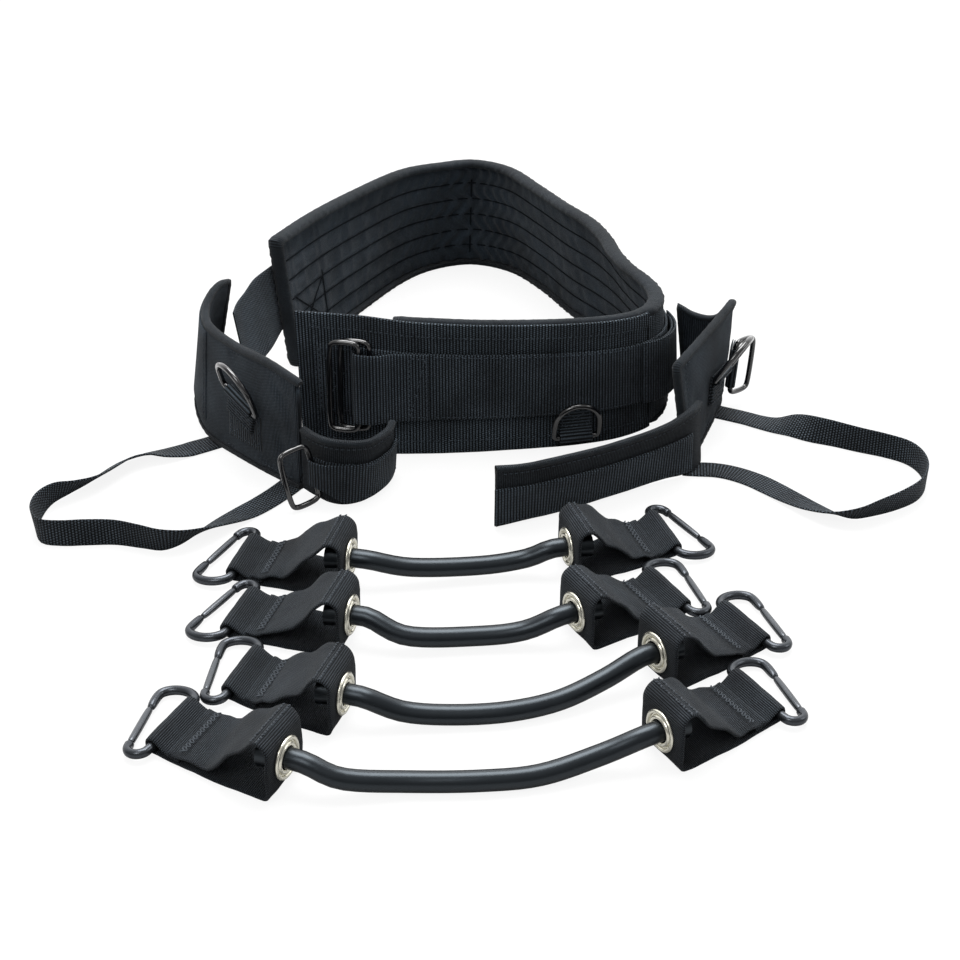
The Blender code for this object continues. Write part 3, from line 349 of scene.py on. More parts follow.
def cloth(name, dark, light, rib=0.0015, bead=0.0012, beads=0.4, bump=0.0004, rough=0.75,
          sheen=0.05, lint=0.15):
    """A woven material: ribs in UV metres, colour between dark (painted shade in the gaps) and
    light (painted highlight on the beads).
    """
    material, tree, shader = painted(name, {
        "Roughness": rough, "Sheen Weight": sheen, "Sheen Roughness": 0.5,
        "Specular IOR Level": 0.08})
    spot = wire_up(tree, "ShaderNodeTexCoord", -1300, 0)
    weave = wire_up(tree, "ShaderNodeGroup", -1000, 200,
                    {"Rib Pitch": rib, "Bead Pitch": bead, "Bead Share": beads},
                    node_tree=ribbed_weave)
    tree.links.new(spot.outputs["UV"], weave.inputs["Vector"])
    fade = wire_up(tree, "ShaderNodeGroup", -1000, -200, node_tree=cloth_fade)
    tree.links.new(spot.outputs["Object"], fade.inputs["Vector"])
    colour = blend(tree, -300, 200, dark, light)
    fleck = maths(tree, "MULTIPLY", fade.outputs["Fade"], fade.outputs["Fuzz"], -800, 0)
    fleck = maths(tree, "MULTIPLY", fleck, 3.0, -650, 0)
    # painted shade and highlight: Shade darkens the colour between ribs and lightens the crests and
    # beads
    share = maths(tree, "MULTIPLY", weave.outputs["Shade"], fleck, -500, 200)
    specks = maths(tree, "MULTIPLY", fade.outputs["Lint"], lint, -650, -250)
    tree.links.new(maths(tree, "ADD", share, specks, -420, 60, clamp=True), colour.inputs[0])
    tree.links.new(colour.outputs[2], shader.inputs["Base Color"])
    rise = wire_up(tree, "ShaderNodeBump", -300, -200, {"Strength": 1.0, "Distance": bump})
    fuzz = maths(tree, "MULTIPLY", fade.outputs["Fuzz"], 0.25, -650, -120)
    height = maths(tree, "ADD", weave.outputs["Height"], fuzz, -480, -150)
    tree.links.new(height, rise.inputs["Height"])
    tree.links.new(rise.outputs[0], shader.inputs["Normal"])
    return material


looks = {}
# For each cloth, dark is the painted shade between its ribs and light the painted highlight on its
# beads
for label, dark, light, values in (
        ("ribbed_cloth", (0.0008, 0.0011, 0.0016), (0.125, 0.160, 0.195),
         dict(rib=0.00213, bead=0.0015, beads=0.6, bump=0.0008)),
        ("black_webbing", (0.0008, 0.0011, 0.0016), (0.109, 0.139, 0.171),
         dict(rib=0.0021, bead=0.0014, beads=0.5, bump=0.0008, rough=0.62)),
        ("loop_webbing", (0.0008, 0.0011, 0.0015), (0.054, 0.067, 0.082),
         dict(rib=0.0012, bead=0.0011, beads=0.6, rough=0.7)),
        ("strap_webbing", (0.0010, 0.0013, 0.0018), (0.105, 0.132, 0.160),
         dict(rib=0.0021, bead=0.0019, beads=0.75, bump=0.0007, rough=0.6)),
        ("tab_webbing", (0.0006, 0.0008, 0.0011), (0.072, 0.090, 0.109),
         dict(rib=0.0024, beads=0.15, bump=0.0009)),
        ("edge_binding", (0.0041, 0.0052, 0.0067), (0.039, 0.050, 0.062),
         dict(rib=0.0008, bead=0.0008, beads=0.6, bump=0.0002, rough=0.85, sheen=0.10)),
        ("quilted_lining", (0.0066, 0.0092, 0.0124), (0.082, 0.112, 0.146),
         dict(rib=0.0009, bead=0.0009, beads=0.7, bump=0.00025, rough=0.9, sheen=0.10, lint=0.5)),
        ("cuff_neoprene", (0.0036, 0.0048, 0.0064), (0.088, 0.114, 0.143),
         dict(rib=0.0013, bead=0.0010, beads=0.6, bump=0.0003, rough=0.85, sheen=0.06)),
        ("sewing_thread", (0.0180, 0.0225, 0.0280), (0.120, 0.148, 0.180),
         dict(rib=0.0004, bead=0.002, bump=0.0001, rough=0.5, lint=0.0)),
        ("bold_thread", (0.026, 0.031, 0.037), (0.14, 0.16, 0.185),
         dict(rib=0.0004, bead=0.002, bump=0.0001, rough=0.5, lint=0.0)),
        # painted shade: a near-black strip laid along the bottom of each quilting groove
        ("groove_shade_strip", (0.0030, 0.0039, 0.0050), (0.016, 0.021, 0.027),
         dict(bump=0.0001, rough=0.9, sheen=0.0, lint=0.0))):
    looks[label] = cloth(label, dark, light, **values)
print("cloth materials:", ", ".join(looks))

# %% [markdown]
# The metal pieces are painted or plated steel. Paint on wire is glossy but never even: the
# group below gives faint smudges, which change the gloss and a little of the colour, and a
# fine grain for the bump. The tube is extruded rubber with a soft bloom, so its gloss is
# broad and slightly blotchy.

# %% Group and materials: handled metal and rubber
def make_handled():
    """Broad smudges and fine grain, as masks from 0 to 1."""
    tree, given, result = new_group("handled_surface", {"Scale": 90.0}, ("Smudge", "Grain"))
    for label, factor, y in (("Smudge", 1.0, 120), ("Grain", 14.0, -120)):
        cloud = wire_up(tree, "ShaderNodeTexNoise", -300, y, {"Detail": 5.0})
        tree.links.new(given.outputs["Vector"], cloud.inputs["Vector"])
        tree.links.new(maths(tree, "MULTIPLY", given.outputs["Scale"], factor, -500, y),
                       cloud.inputs["Scale"])
        tree.links.new(cloud.outputs[0], result.inputs[label])
    return tree


handled_surface = make_handled()


def hard(name, colour, worn, metallic, low, high, coat=0.0, grain=0.00001, tint=(1, 1, 1)):
    """A painted, plated or moulded surface whose gloss varies between two roughness values."""
    material, tree, shader = painted(name, {
        "Metallic": metallic, "Specular Tint": (*tint, 1), "Coat Weight": coat,
        "Coat Roughness": 0.12})
    spot = wire_up(tree, "ShaderNodeTexCoord", -1000, 0)
    marks = wire_up(tree, "ShaderNodeGroup", -750, 0, node_tree=handled_surface)
    tree.links.new(spot.outputs["Object"], marks.inputs["Vector"])
    gloss = wire_up(tree, "ShaderNodeMapRange", -450, -100, {"To Min": low, "To Max": high})
    tree.links.new(marks.outputs["Smudge"], gloss.inputs["Value"])
    tree.links.new(gloss.outputs[0], shader.inputs["Roughness"])
    shade = blend(tree, -450, 150, colour, worn)
    tree.links.new(marks.outputs["Smudge"], shade.inputs[0])
    tree.links.new(shade.outputs[2], shader.inputs["Base Color"])
    rise = wire_up(tree, "ShaderNodeBump", -450, -350, {"Distance": grain})
    tree.links.new(marks.outputs["Grain"], rise.inputs["Height"])
    tree.links.new(rise.outputs[0], shader.inputs["Normal"])
    return material


for label, colour, worn, metallic, low, high, values in (
        ("black_gloss_wire", (0.002, 0.002, 0.0025), (0.004, 0.004, 0.005), 0.0, 0.10, 0.20,
         dict(coat=0.9, grain=0.000004)),
        ("grey_carabiner", (0.032, 0.036, 0.042), (0.066, 0.072, 0.081), 0.8, 0.18, 0.32, {}),
        ("grey_gate", (0.055, 0.060, 0.067), (0.100, 0.107, 0.117), 0.8, 0.18, 0.32, {}),
        ("silver_eyelet", (0.62, 0.60, 0.51), (0.76, 0.74, 0.64), 0.95, 0.18, 0.32, {}),
        ("rubber_tube", (0.0012, 0.0015, 0.0021), (0.003, 0.0037, 0.005), 0.0, 0.28, 0.36,
         dict(tint=(0.78, 0.90, 1.0)))):
    looks[label] = hard(label, colour, worn, metallic, low, high, **values)
print("materials with the hard ones:", len(looks))

# %% [markdown]
# ## Building cloth
# Nearly every strap here is a ribbon: a foot edge, a top edge and a thickness. One helper
# sews such a ribbon with rolled edges and stores its UV map in metres. A small sum of
# waves, fixed in the code, makes the cloth lie slightly uneven.

# %% Mesh helpers
def unevenness(u, v, size=0.03):
    """A smooth, repeatable waviness between about -1 and 1."""
    total = 0.0
    for fu, fv, phase, share in ((1.0, 0.4, 0.3, 0.5), (-0.6, 1.3, 1.9, 0.3), (2.3, 0.9, 4.1, 0.2),
                                 (3.9, -2.6, 2.2, 0.1)):
        total = total + share * np.sin(2 * math.pi * (fu * u + fv * v) / size + phase)
    return total


def made(name, mesh, look, body, nodes=(), smooth=40):
    """Finish a mesh as one named piece that rides on a body and stands for CAD nodes."""
    data = bpy.data.meshes.new(name)
    bmesh.ops.recalc_face_normals(mesh, faces=mesh.faces)
    if mesh.calc_volume(signed=True) < 0:
        bmesh.ops.reverse_faces(mesh, faces=mesh.faces)
    mesh.to_mesh(data)
    mesh.free()
    data.shade_smooth()
    data.set_sharp_from_angle(angle=math.radians(smooth))
    data.materials.append(looks[look])
    piece = placed(name, data)
    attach(piece, body)
    if nodes:
        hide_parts(*nodes)
    return piece


def skin(rows, us, vs, loop=False):
    """Join like sections into a closed body whose UV map holds us along and vs round."""
    mesh = bmesh.new()
    sheet = mesh.loops.layers.uv.new("UVMap")
    n, m = rows.shape[:2]
    verts = [[mesh.verts.new(p) for p in row] for row in rows]
    for i in range(n if loop else n - 1):
        k = (i + 1) % n
        for j in range(m):
            q = (j + 1) % m
            face = mesh.faces.new((verts[i][j], verts[i][q], verts[k][q], verts[k][j]))
            corners = ((us[i], vs[j]), (us[i], vs[j + 1]), (us[i + 1], vs[j + 1]),
                       (us[i + 1], vs[j]))
            for corner, uv in zip(face.loops, corners):
                corner[sheet].uv = uv
    if not loop:
        for row, u in ((verts[0], us[0]), (verts[-1], us[-1])):
            face = mesh.faces.new(row)
            for corner, v in zip(face.loops, vs):
                corner[sheet].uv = (u, v)
    return mesh


def round_section(width, thick, across):
    """A flat strap's section: places across, and heights above and below its middle."""
    rim = thick * 0.45 / width
    upper = [(rim + t * (1 - 2 * rim), 1.0) for t in np.linspace(0.0, 1.0, across)]
    lower = [(a, -1.0) for a, _ in reversed(upper)]
    rows = upper + [(1 - 0.25 * rim, 0.6), (1.0, 0.0), (1 - 0.25 * rim, -0.6)] + lower
    rows += [(0.25 * rim, -0.6), (0.0, 0.0), (0.25 * rim, 0.6)]
    return np.array(rows)


def ribbon(foot, top, thick, across=9, wave=0.0):
    """A strap between two edge curves, with rolled edges and slightly tapered ends."""
    foot, top = np.asarray(foot, float), np.asarray(top, float)
    middle = (foot + top) / 2
    ahead = np.gradient(middle, axis=0)
    wide = top - foot
    out = np.cross(ahead, wide)
    out /= np.linalg.norm(out, axis=1)[:, None]
    width = float(np.linalg.norm(wide, axis=1).mean())
    section = round_section(width, thick, across)
    u = walked(middle)
    half = np.full(len(u), thick / 2)
    half[[0, -1]] *= 0.55
    share, lift = section[:, 0], section[:, 1]
    rows = foot[:, None] + wide[:, None] * share[None, :, None]
    swing = wave * unevenness(u[:, None], share[None, :] * width)
    rows = rows + out[:, None] * (half[:, None] * lift[None, :] + swing)[:, :, None]
    ring = np.vstack([section, section[:1]])
    step = np.abs(np.diff(ring[:, 0])) * width + np.abs(np.diff(ring[:, 1])) * thick * 0.3
    return skin(rows, u, running(step))


def strip(name, wall, us, low, high, out, thick, look, body, nodes=(), slot=None, **shape):
    """A piece of strap laid along a wall, between two shares of its height."""
    mesh = ribbon(wall.at(us, low, out), wall.at(us, high, out), thick, **shape)
    return made(name, mesh, look, body, nodes)


print("mesh helpers ready")

# %% [markdown]
# A thick sewn piece isn't a plain ribbon: its two faces differ. The next helper sweeps any
# closed section of (share of the height, distance outward) along a wall. Corners of the
# section are rounded first, because cloth has no sharp arris.

# %% Sweeping a section along a wall
def soften(section, radius, scale, steps=3):
    """Round the corners of a (share, out) section; scale turns shares into metres."""
    points = [np.array((h * scale, d)) for h, d in section]
    result = []
    for k, corner in enumerate(points):
        before, after = points[k - 1], points[(k + 1) % len(points)]
        arms = []
        for other in (before, after):
            gap = other - corner
            size = np.linalg.norm(gap)
            arms.append(corner + gap * min(radius / size, 0.45))
        for t in np.linspace(0, 1, steps + 1):
            result.append((1 - t) ** 2 * arms[0] + 2 * t * (1 - t) * corner + t ** 2 * arms[1])
    return [(h / scale, d) for h, d in result]


def divide(section, step, scale):
    """Add points on the section's long sides, so that they can follow uneven cloth."""
    result = []
    for k, (h, d) in enumerate(section):
        g, e = section[(k + 1) % len(section)]
        count = max(1, round(math.hypot((g - h) * scale, e - d) / step))
        result += [(h + (g - h) * i / count, d + (e - d) * i / count) for i in range(count)]
    return result


def sweep(wall, first, last, section, step=0.004, height=0.1, radius=0.0008, wave=0.0,
          grow=None):
    """A closed body along a wall; grow(u, share, out) returns the changed outward distance."""
    us = np.linspace(first, last, max(2, round((last - first) / step)) + 1)
    sides = np.array(divide(soften(section, radius, height), 0.004, height))
    share = np.broadcast_to(sides[None, :, 0], (len(us), len(sides)))
    out = np.broadcast_to(sides[None, :, 1], share.shape)
    u = us[:, None] + 0 * share
    out = out + wave * unevenness(u, share * height)
    if grow is not None:
        out = grow(u, share, out)
    ring = np.vstack([sides, sides[:1]])
    round_way = np.hypot(np.diff(ring[:, 0]) * height, np.diff(ring[:, 1]))
    return skin(wall.at(u, share, out), us, running(round_way))


print("sweep ready")

# %% [markdown]
# ## Stitches
# Sewing is what tells the eye that these are straps and not plastic. Each stitch is a small
# spindle of thread laid along a line on the cloth. All the stitches of one body go into one
# mesh, because they never move against each other.

# %% Stitch maker
thread_runs = {}


def sew(body, points, radius=0.00036, pitch=0.0036, share=0.68):
    """Lay stitches along a line of points for one body."""
    points = np.asarray(points, float)
    way = walked(points)
    count = max(1, int(way[-1] / pitch))
    for k in range(count):
        places = [(k + 0.5 + half) * way[-1] / count for half in (-share / 2, share / 2)]
        ends = [np.array([np.interp(w, way, points[:, c]) for c in range(3)]) for w in places]
        thread_runs.setdefault(body, []).append((*ends, radius))


def lay_stitches():
    """Turn the collected stitches into one mesh for each body."""
    for body, runs in thread_runs.items():
        mesh = bmesh.new()
        layer = mesh.loops.layers.uv.new("UVMap")
        for a, b, radius in runs:
            along = Vector(b - a)
            side = along.orthogonal().normalized() * radius
            other = along.normalized().cross(side)
            tips = [mesh.verts.new(a), mesh.verts.new(b)]
            turns = [side * math.cos(w) + other * math.sin(w)
                     for w in (math.pi * q / 3 for q in range(6))]
            rings = [[mesh.verts.new(Vector(a) + along * t + turn) for turn in turns]
                     for t in (0.18, 0.82)]
            for q in range(6):
                p = (q + 1) % 6
                mesh.faces.new((tips[0], rings[0][p], rings[0][q]))
                mesh.faces.new((rings[0][q], rings[0][p], rings[1][p], rings[1][q]))
                mesh.faces.new((tips[1], rings[1][q], rings[1][p]))
        for face in mesh.faces:
            for corner in face.loops:
                corner[layer].uv = corner.vert.co.xy
        look = "bold_thread" if body.startswith("band") else "sewing_thread"
        made(body + "_stitches", mesh, look, body, smooth=80)


def line_on(wall, ends, out, step=0.003):
    """Points of straight runs between (along, share) corners on a wall."""
    spots = []
    for (u0, w0), (u1, w1) in zip(ends, ends[1:]):
        count = max(2, int(abs(u1 - u0) / step) + int(abs(w1 - w0) * BELT_HEIGHT / step))
        t = np.linspace(0, 1, count + 1)
        spots.append(wall.at(u0 + (u1 - u0) * t, w0 + (w1 - w0) * t, out))
    return np.vstack(spots)


print("stitch maker ready")

# %% [markdown]
# ## Bound edges
# A raw edge is covered by a folded tape. From the side it is a rounded U over the edge, and
# because the tape is stretched round bends while it is sewn, it puckers. One helper sweeps
# that U along any path on a wall; the puckers are short waves added to its depth.

# %% Folded tape along an edge
def bind(wall, track, inside, outside, pucker, closed=False):
    """Sweep a folded tape; rows of track are (u, share, du, dshare), outside a number or f(u)."""
    track = np.array(track, float)
    face = outside(track[:, :1]) if callable(outside) else outside
    mid, half = (inside + face) / 2, (face - inside) / 2
    profile = [(0.0, 1.0), (0.3, 1.03), (0.62, 0.97), (0.86, 0.72), (0.97, 0.38), (1.0, 0.0),
               (0.97, -0.38), (0.86, -0.72), (0.62, -0.97), (0.3, -1.03), (0.0, -1.0),
               (-0.02, -0.9), (-0.02, 0.9)]
    e, d = np.array(profile).T[:, None]
    spots = wall.at(track[:, 0], track[:, 1])
    tail = np.roll(spots, -1, axis=0) - spots if closed else np.diff(spots, axis=0)
    us = running(np.linalg.norm(tail, axis=1))
    way = us[:len(track)][:, None]
    ripple = (np.sin(2 * math.pi * way / 0.0063 + 1.7 * unevenness(way, 0 * way, 0.05))
              + 0.7 * np.sin(2 * math.pi * way / 0.0101 + 0.8))
    grip = 1 + 0.015 * ripple * (e > 0.5)
    out = mid + d * half + np.sign(d) * pucker * ripple * (np.abs(e - 0.45) < 0.4)
    u = track[:, 0:1] + track[:, 2:3] * e * grip
    w = track[:, 1:2] + track[:, 3:4] * e * grip
    return skin(wall.at(u, w, out), us, running(np.full(len(profile), 0.0022)), loop=closed)


def edge_track(first, last, low, high, du, dw, step=0.0022, height=0.1, sides="tebf"):
    """Rows of a tape track round a rectangle on a wall; sides names top, end, bottom, front."""
    along = np.linspace(first, last, max(2, round((last - first) / step)) + 1)
    up = np.linspace(low, high, max(2, round((high - low) * height / step)) + 1)
    runs = {"t": [(u, high, 0, dw) for u in along], "e": [(last, w, du, 0) for w in up[::-1]],
            "b": [(u, low, 0, -dw) for u in along[::-1]], "f": [(first, w, -du, 0) for w in up]}
    turns = {"t": (last, high, du * 0.75, dw * 0.75), "e": (last, low, du * 0.75, -dw * 0.75),
             "b": (first, low, -du * 0.75, -dw * 0.75), "f": (first, high, -du * 0.75, dw * 0.75)}
    rows = []
    for side in sides:
        rows += runs[side][1:-1] + [turns[side]]
    return rows


print("tape helper ready")

# %% [markdown]
# ## Quilted padding
# The belt's lining is a thin foam pad sewn through in long channels. It could be shaped by
# hand, but Blender's cloth does it more truly: pin the seams, pump a little pressure
# between them and let the cloth swell. The swelling is capped, so the pad stays inside the
# space that its solid holds.

# %% Swell a sewn piece with the cloth solver
def swell(piece, pins, pressure, cap):
    """Run the cloth solver with pinned seams, cap the movement and keep the result."""
    group = piece.vertex_groups.new(name="seams")
    for index, weight in enumerate(pins):
        if weight > 0:
            group.add([index], float(weight), "REPLACE")
    modifier = piece.modifiers.new("cloth", "CLOTH")
    settings = modifier.settings
    settings.quality = 4
    settings.mass = 0.2
    settings.tension_stiffness = settings.compression_stiffness = 12.0
    settings.shear_stiffness = 6.0
    settings.bending_stiffness = 0.3
    settings.shrink_min = -0.03
    settings.vertex_group_mass = "seams"
    settings.use_pressure = True
    settings.uniform_pressure_force = pressure
    settings.effector_weights.gravity = 0.0
    modifier.collision_settings.use_collision = False
    scene = bpy.context.scene
    for number in range(1, 21):
        scene.frame_set(number)
    view = bpy.context.evaluated_depsgraph_get()
    ready = piece.evaluated_get(view).data
    count = len(piece.data.vertices)
    start, moved = np.empty(count * 3), np.empty(count * 3)
    piece.data.vertices.foreach_get("co", start)
    ready.vertices.foreach_get("co", moved)
    shift = (moved - start).reshape(-1, 3)
    size = np.linalg.norm(shift, axis=1)[:, None] + 1e-9
    shift *= cap * np.tanh(size / cap) / size
    piece.modifiers.remove(modifier)
    scene.frame_set(1)
    piece.data.vertices.foreach_set("co", (start.reshape(-1, 3) + shift).ravel())
    piece.data.update()
    print(piece.name, "swelled by up to %.1f mm" % (1000 * np.linalg.norm(shift, axis=1).max()))


def finer(piece, levels=1):
    """Subdivide a piece, so that it reads as smooth cloth or wire."""
    smooth = piece.modifiers.new("finer", "SUBSURF")
    smooth.levels = smooth.render_levels = levels


print("cloth solver ready")

# %% Places on the belt's pad
PAD_FIRST, PAD_SEAM, BELT_EDGE = 0.064, 0.0042, 0.0048
first, last = PAD_FIRST + BELT_EDGE, belt.length - BELT_EDGE
LINING_LOW, LINING_HIGH, CHANNELS = 0.050, 0.950, 6
channel = (LINING_HIGH - LINING_LOW) / CHANNELS
box_from, box_to = belt.length - 0.060, belt.length - 0.016
back_seam_at = np.array([-0.009, 0.3275, 0.1])
back_middle = belt.walk[np.argmin(np.abs(belt.top - back_seam_at).sum(axis=1))]
print("pad %.3f m long, back seam at %.3f m" % (last - first, back_middle))

# %% The belt's pad
def near(value, places, width):
    """How close a value lies to any of several places, as a mask from 0 to 1."""
    gaps = np.min([np.abs(value - place) for place in places], axis=0)
    return np.clip(1.6 - gaps / width, 0, 1)


def spread_over(us, faces):
    """The way along, the share and the face of a section's points, at every station."""
    share, face = np.array(faces, float).T[:, None, :] + 0 * us[:, None]
    return us[:, None] + 0 * share, share, face


def belt_pad():
    """The lining, pinned along its channels, at the back seam and at the sewn box and cross."""
    us = np.linspace(first, last, round((last - first) / 0.0028) + 1)
    low, high = LINING_LOW, LINING_HIGH
    steps = (0.0, 0.09, 0.22, 0.38, 0.62, 0.78, 0.91)
    levels = [high - channel * (k + step) for k in range(CHANNELS) for step in steps] + [low]
    u, share, face = spread_over(
        us, [(h, 1) for h in levels] + [(h, 0) for h in np.linspace(low, high, 5)])
    gather = (np.exp(-((u - back_middle) / 0.040) ** 2)
              * np.sin(2 * math.pi * u / 0.0115 + 2.2 * np.sin(23 * share) + 1.5 * np.sin(90 * u)))
    out = np.where(face > 0, -PAD_SEAM - 0.0021 * gather, -0.0003)
    lines = near(share, [low + channel * k for k in range(1, CHANNELS)], 0.006)
    across = (u - box_from) / (box_to - box_from)
    level = (share - 0.14) / 0.36
    in_box = (across > 0) & (across < 1) & (level > 0) & (level < 1)
    crossing = np.maximum(near(across - level, [0], 0.08), near(across + level, [1], 0.08)) * in_box
    posts = near(u, [box_from, box_to, back_middle - 0.003, back_middle + 0.003, first + 0.02],
                 0.0022)
    rim = (share > high - 0.01) | (share < low + 0.01) | (u < first + 0.003) | (u > last - 0.003)
    pins = np.maximum.reduce([lines, crossing, posts, rim * 1.0, (face < 1) * 1.0])
    pins = np.where(pins > 0.6, 1.0, 0.0)
    out = out + np.where((face > 0) & (pins > 0) & ~rim, 0.0005, 0.0)
    run = running(np.hypot(np.diff(np.append(share[0], share[0, :1])) * BELT_HEIGHT, 0.0005))
    piece = made("quilted_pad", skin(belt.at(u, share, out), us, run), "quilted_lining", "belt",
                 ("belt_pad",), smooth=180)
    swell(piece, pins.ravel(), 9.0, 0.0033)
    finer(piece)
    print("pad:", len(us), "columns,", len(levels), "rows")


belt_pad()

# %% Quilting lines, drawn as dark strips of painted shade in the grooves
GROOVE_SHADE_HALF = 0.0006
seams = [[(first + 0.02, LINING_LOW + channel * k), (last - 0.003, LINING_LOW + channel * k)]
         for k in range(1, CHANNELS)]
seams += [[(box_from, 0.14), (box_to, 0.50)], [(box_from, 0.50), (box_to, 0.14)],
          [(box_from, 0.08), (box_from, 0.55)], [(back_middle, 0.10), (back_middle, 0.90)]]
rise = belt.at(0.3, 1.0) - belt.at(0.3, 0.0)
# each strip is painted shade where the seam pulls the pad into a groove, not a thread
for number, ((u0, w0), (u1, w1)) in enumerate(seams, start=1):
    line = line_on(belt, [(u0, w0), (u1, w1)], -PAD_SEAM - 0.0002)
    side = rise / np.linalg.norm(rise) * GROOVE_SHADE_HALF
    if w0 != w1:
        inward = belt.at(u0, 0.5, -1.0) - belt.at(u0, 0.5, 0.0)
        side = np.cross(np.gradient(line, axis=0), inward)
        side *= GROOVE_SHADE_HALF / np.linalg.norm(side, axis=1)[:, None]
    made("quilting_groove_shade_%02d" % number, ribbon(line - side, line + side, 0.0006, across=3),
         "groove_shade_strip", "belt")
print("quilting lines:", len(seams))

# %% [markdown]
# The shell is the ribbed cloth on the outside. Its free front end carries no pad: there it
# is a plain flap with a folded hem along the top, the foot and the end. Along the whole
# front the cloth reaches nearly to the edges and only the roll of the tape shows above it.
# From the bend on, the tape folds over the cloth as well.

# %% The belt's shell, hem and binding
SHELL = 0.0024
FRONT_LAST = 0.246


def hemmed(u, share, out):
    """Raise the outside where the hem is folded over, at the top, the foot and the end."""
    fold = np.maximum(np.clip((share - 0.885) / 0.01, 0, 1), np.clip((0.011 - u) / 0.001, 0, 1))
    fold = np.maximum(fold, np.clip((0.10 - share) / 0.01, 0, 1))
    return out + 0.0007 * fold * (out > 0.001)


def tape_face(u):
    """Outer face of the tape: behind the cloth at the front, over it past the bend."""
    return -0.0003 + 0.0033 * np.clip((u - FRONT_LAST) / 0.006, 0, 1)


front = sweep(belt, 0.0, FRONT_LAST,
              [(0.0, SHELL - 0.0007), (0.992, SHELL - 0.0007), (0.992, 0), (0.0, 0)],
              step=0.002, grow=hemmed, wave=0.00012)
made("shell_front", front, "ribbed_cloth", "belt", ("belt_shell",))
body_cloth = sweep(belt, FRONT_LAST - 0.001, belt.length - BELT_EDGE,
                   [(0.048, SHELL), (0.952, SHELL), (0.952, 0), (0.048, 0)], wave=0.00018)
made("shell_body", body_cloth, "ribbed_cloth", "belt", ("belt_shell",))
track = edge_track(PAD_FIRST + 0.0045, belt.length - 0.0045, 0.045, 0.955, 0.0045, 0.048)
track = [(u, w, du, dw * (0.78 + 0.22 * min(1.0, max(0.0, (u - PAD_FIRST) / 0.03))))
         for u, w, du, dw in track]
tape = bind(belt, track, -0.0081, tape_face, 0.0003, closed=True)
made("belt_edge_tape", tape, "edge_binding", "belt", ("belt_binding",), smooth=60)
for share in (0.895, 0.105):
    sew("belt", belt.at(np.arange(0.010, 0.235, 0.003), share, SHELL + 0.0006))
for u in (0.0095, 0.0125):
    sew("belt", belt.at(u, np.linspace(0.05, 0.95, 34), SHELL + 0.0002), radius=0.00032)
print("shell, hem and tape made")

# %% [markdown]
# ## The belt's webbing
# One 50 mm strap does all the pulling. Its sewn end lies on the belt's front, from there it
# folds back through both rectangular rings, and then it runs round the whole belt. Its free
# end leaves the belt at the back. The fold is a half circle round the rings' bars.

# %% Webbing, fold and tail
WEB_FOOT, WEB_TOP, WEB_THICK = 0.28, 0.78, 0.0018
LAY, OVER = 0.0042, 0.0157
FOLD_AT = 0.04545
turn = (OVER - LAY) / 2
start_run = np.array([(0.0900, LAY + 0.0021), (0.0800, LAY + 0.0021), (0.0670, LAY + 0.0045),
                      (0.0580, OVER - 0.0018), (0.0520, OVER)])
around = np.array([(FOLD_AT - turn * math.sin(a), (LAY + OVER) / 2 + turn * math.cos(a))
                   for a in np.linspace(0, math.pi, 17)])
lead = bend_through(start_run, np.linspace(0, 4, 21))
rest = np.arange(FOLD_AT + 0.004, belt.length, 0.004)
path = np.vstack([lead, around, np.stack([rest, 0 * rest + LAY], axis=1)])
foot, top = belt.at(path[:, 0], WEB_FOOT, path[:, 1]), belt.at(path[:, 0], WEB_TOP, path[:, 1])


def with_tail(edge, end):
    """Lengthen one edge of the strap by the free tail, which leaves the belt at the back."""
    tail = np.vstack([edge[-3], edge[-1], np.array([row[end] for row in TAIL_ROUTE]) * MM - OFFSET])
    return np.vstack([edge, bend_through(tail, np.linspace(1.0, 5.0, 34)[1:])])


top, foot = with_tail(top, 0), with_tail(foot, 1)
made("waist_webbing", ribbon(foot, top, WEB_THICK, across=15, wave=0.00012), "black_webbing",
     "belt", ("belt_webbing",))
strip("flap_patch", belt, np.arange(0.013, 0.0425, 0.0025), WEB_FOOT, WEB_TOP, SHELL, 0.0009,
      "black_webbing", "belt", across=11)
print("webbing of %.2f m" % walked((foot + top) / 2)[-1])

# %% Box-and-cross stitching on the webbing
LOW, HIGH = WEB_FOOT + 0.03, WEB_TOP - 0.03
on_patch, on_end = SHELL + 0.0004, LAY + 0.0021 + WEB_THICK / 2 + 0.0001
for corners, out in (
        ([(0.0405, HIGH), (0.0150, HIGH), (0.0150, LOW), (0.0405, LOW)], on_patch),
        ([(0.0150, HIGH), (0.0420, LOW)], on_patch), ([(0.0150, LOW), (0.0420, HIGH)], on_patch),
        ([(0.0780, HIGH), (0.0885, HIGH), (0.0885, LOW), (0.0780, LOW)], on_end),
        ([(0.0775, HIGH), (0.0775, LOW)], on_end + 0.0003),
        ([(0.0780, LOW), (0.0880, HIGH)], on_end + 0.0002)):
    sew("belt", line_on(belt, corners, out))
for share in (WEB_TOP - 0.02, WEB_FOOT + 0.02):
    sew("belt", belt.at(np.arange(0.094, 0.232, 0.003), share, LAY + WEB_THICK / 2 + 0.0001))
print("stitches so far:", len(thread_runs["belt"]))

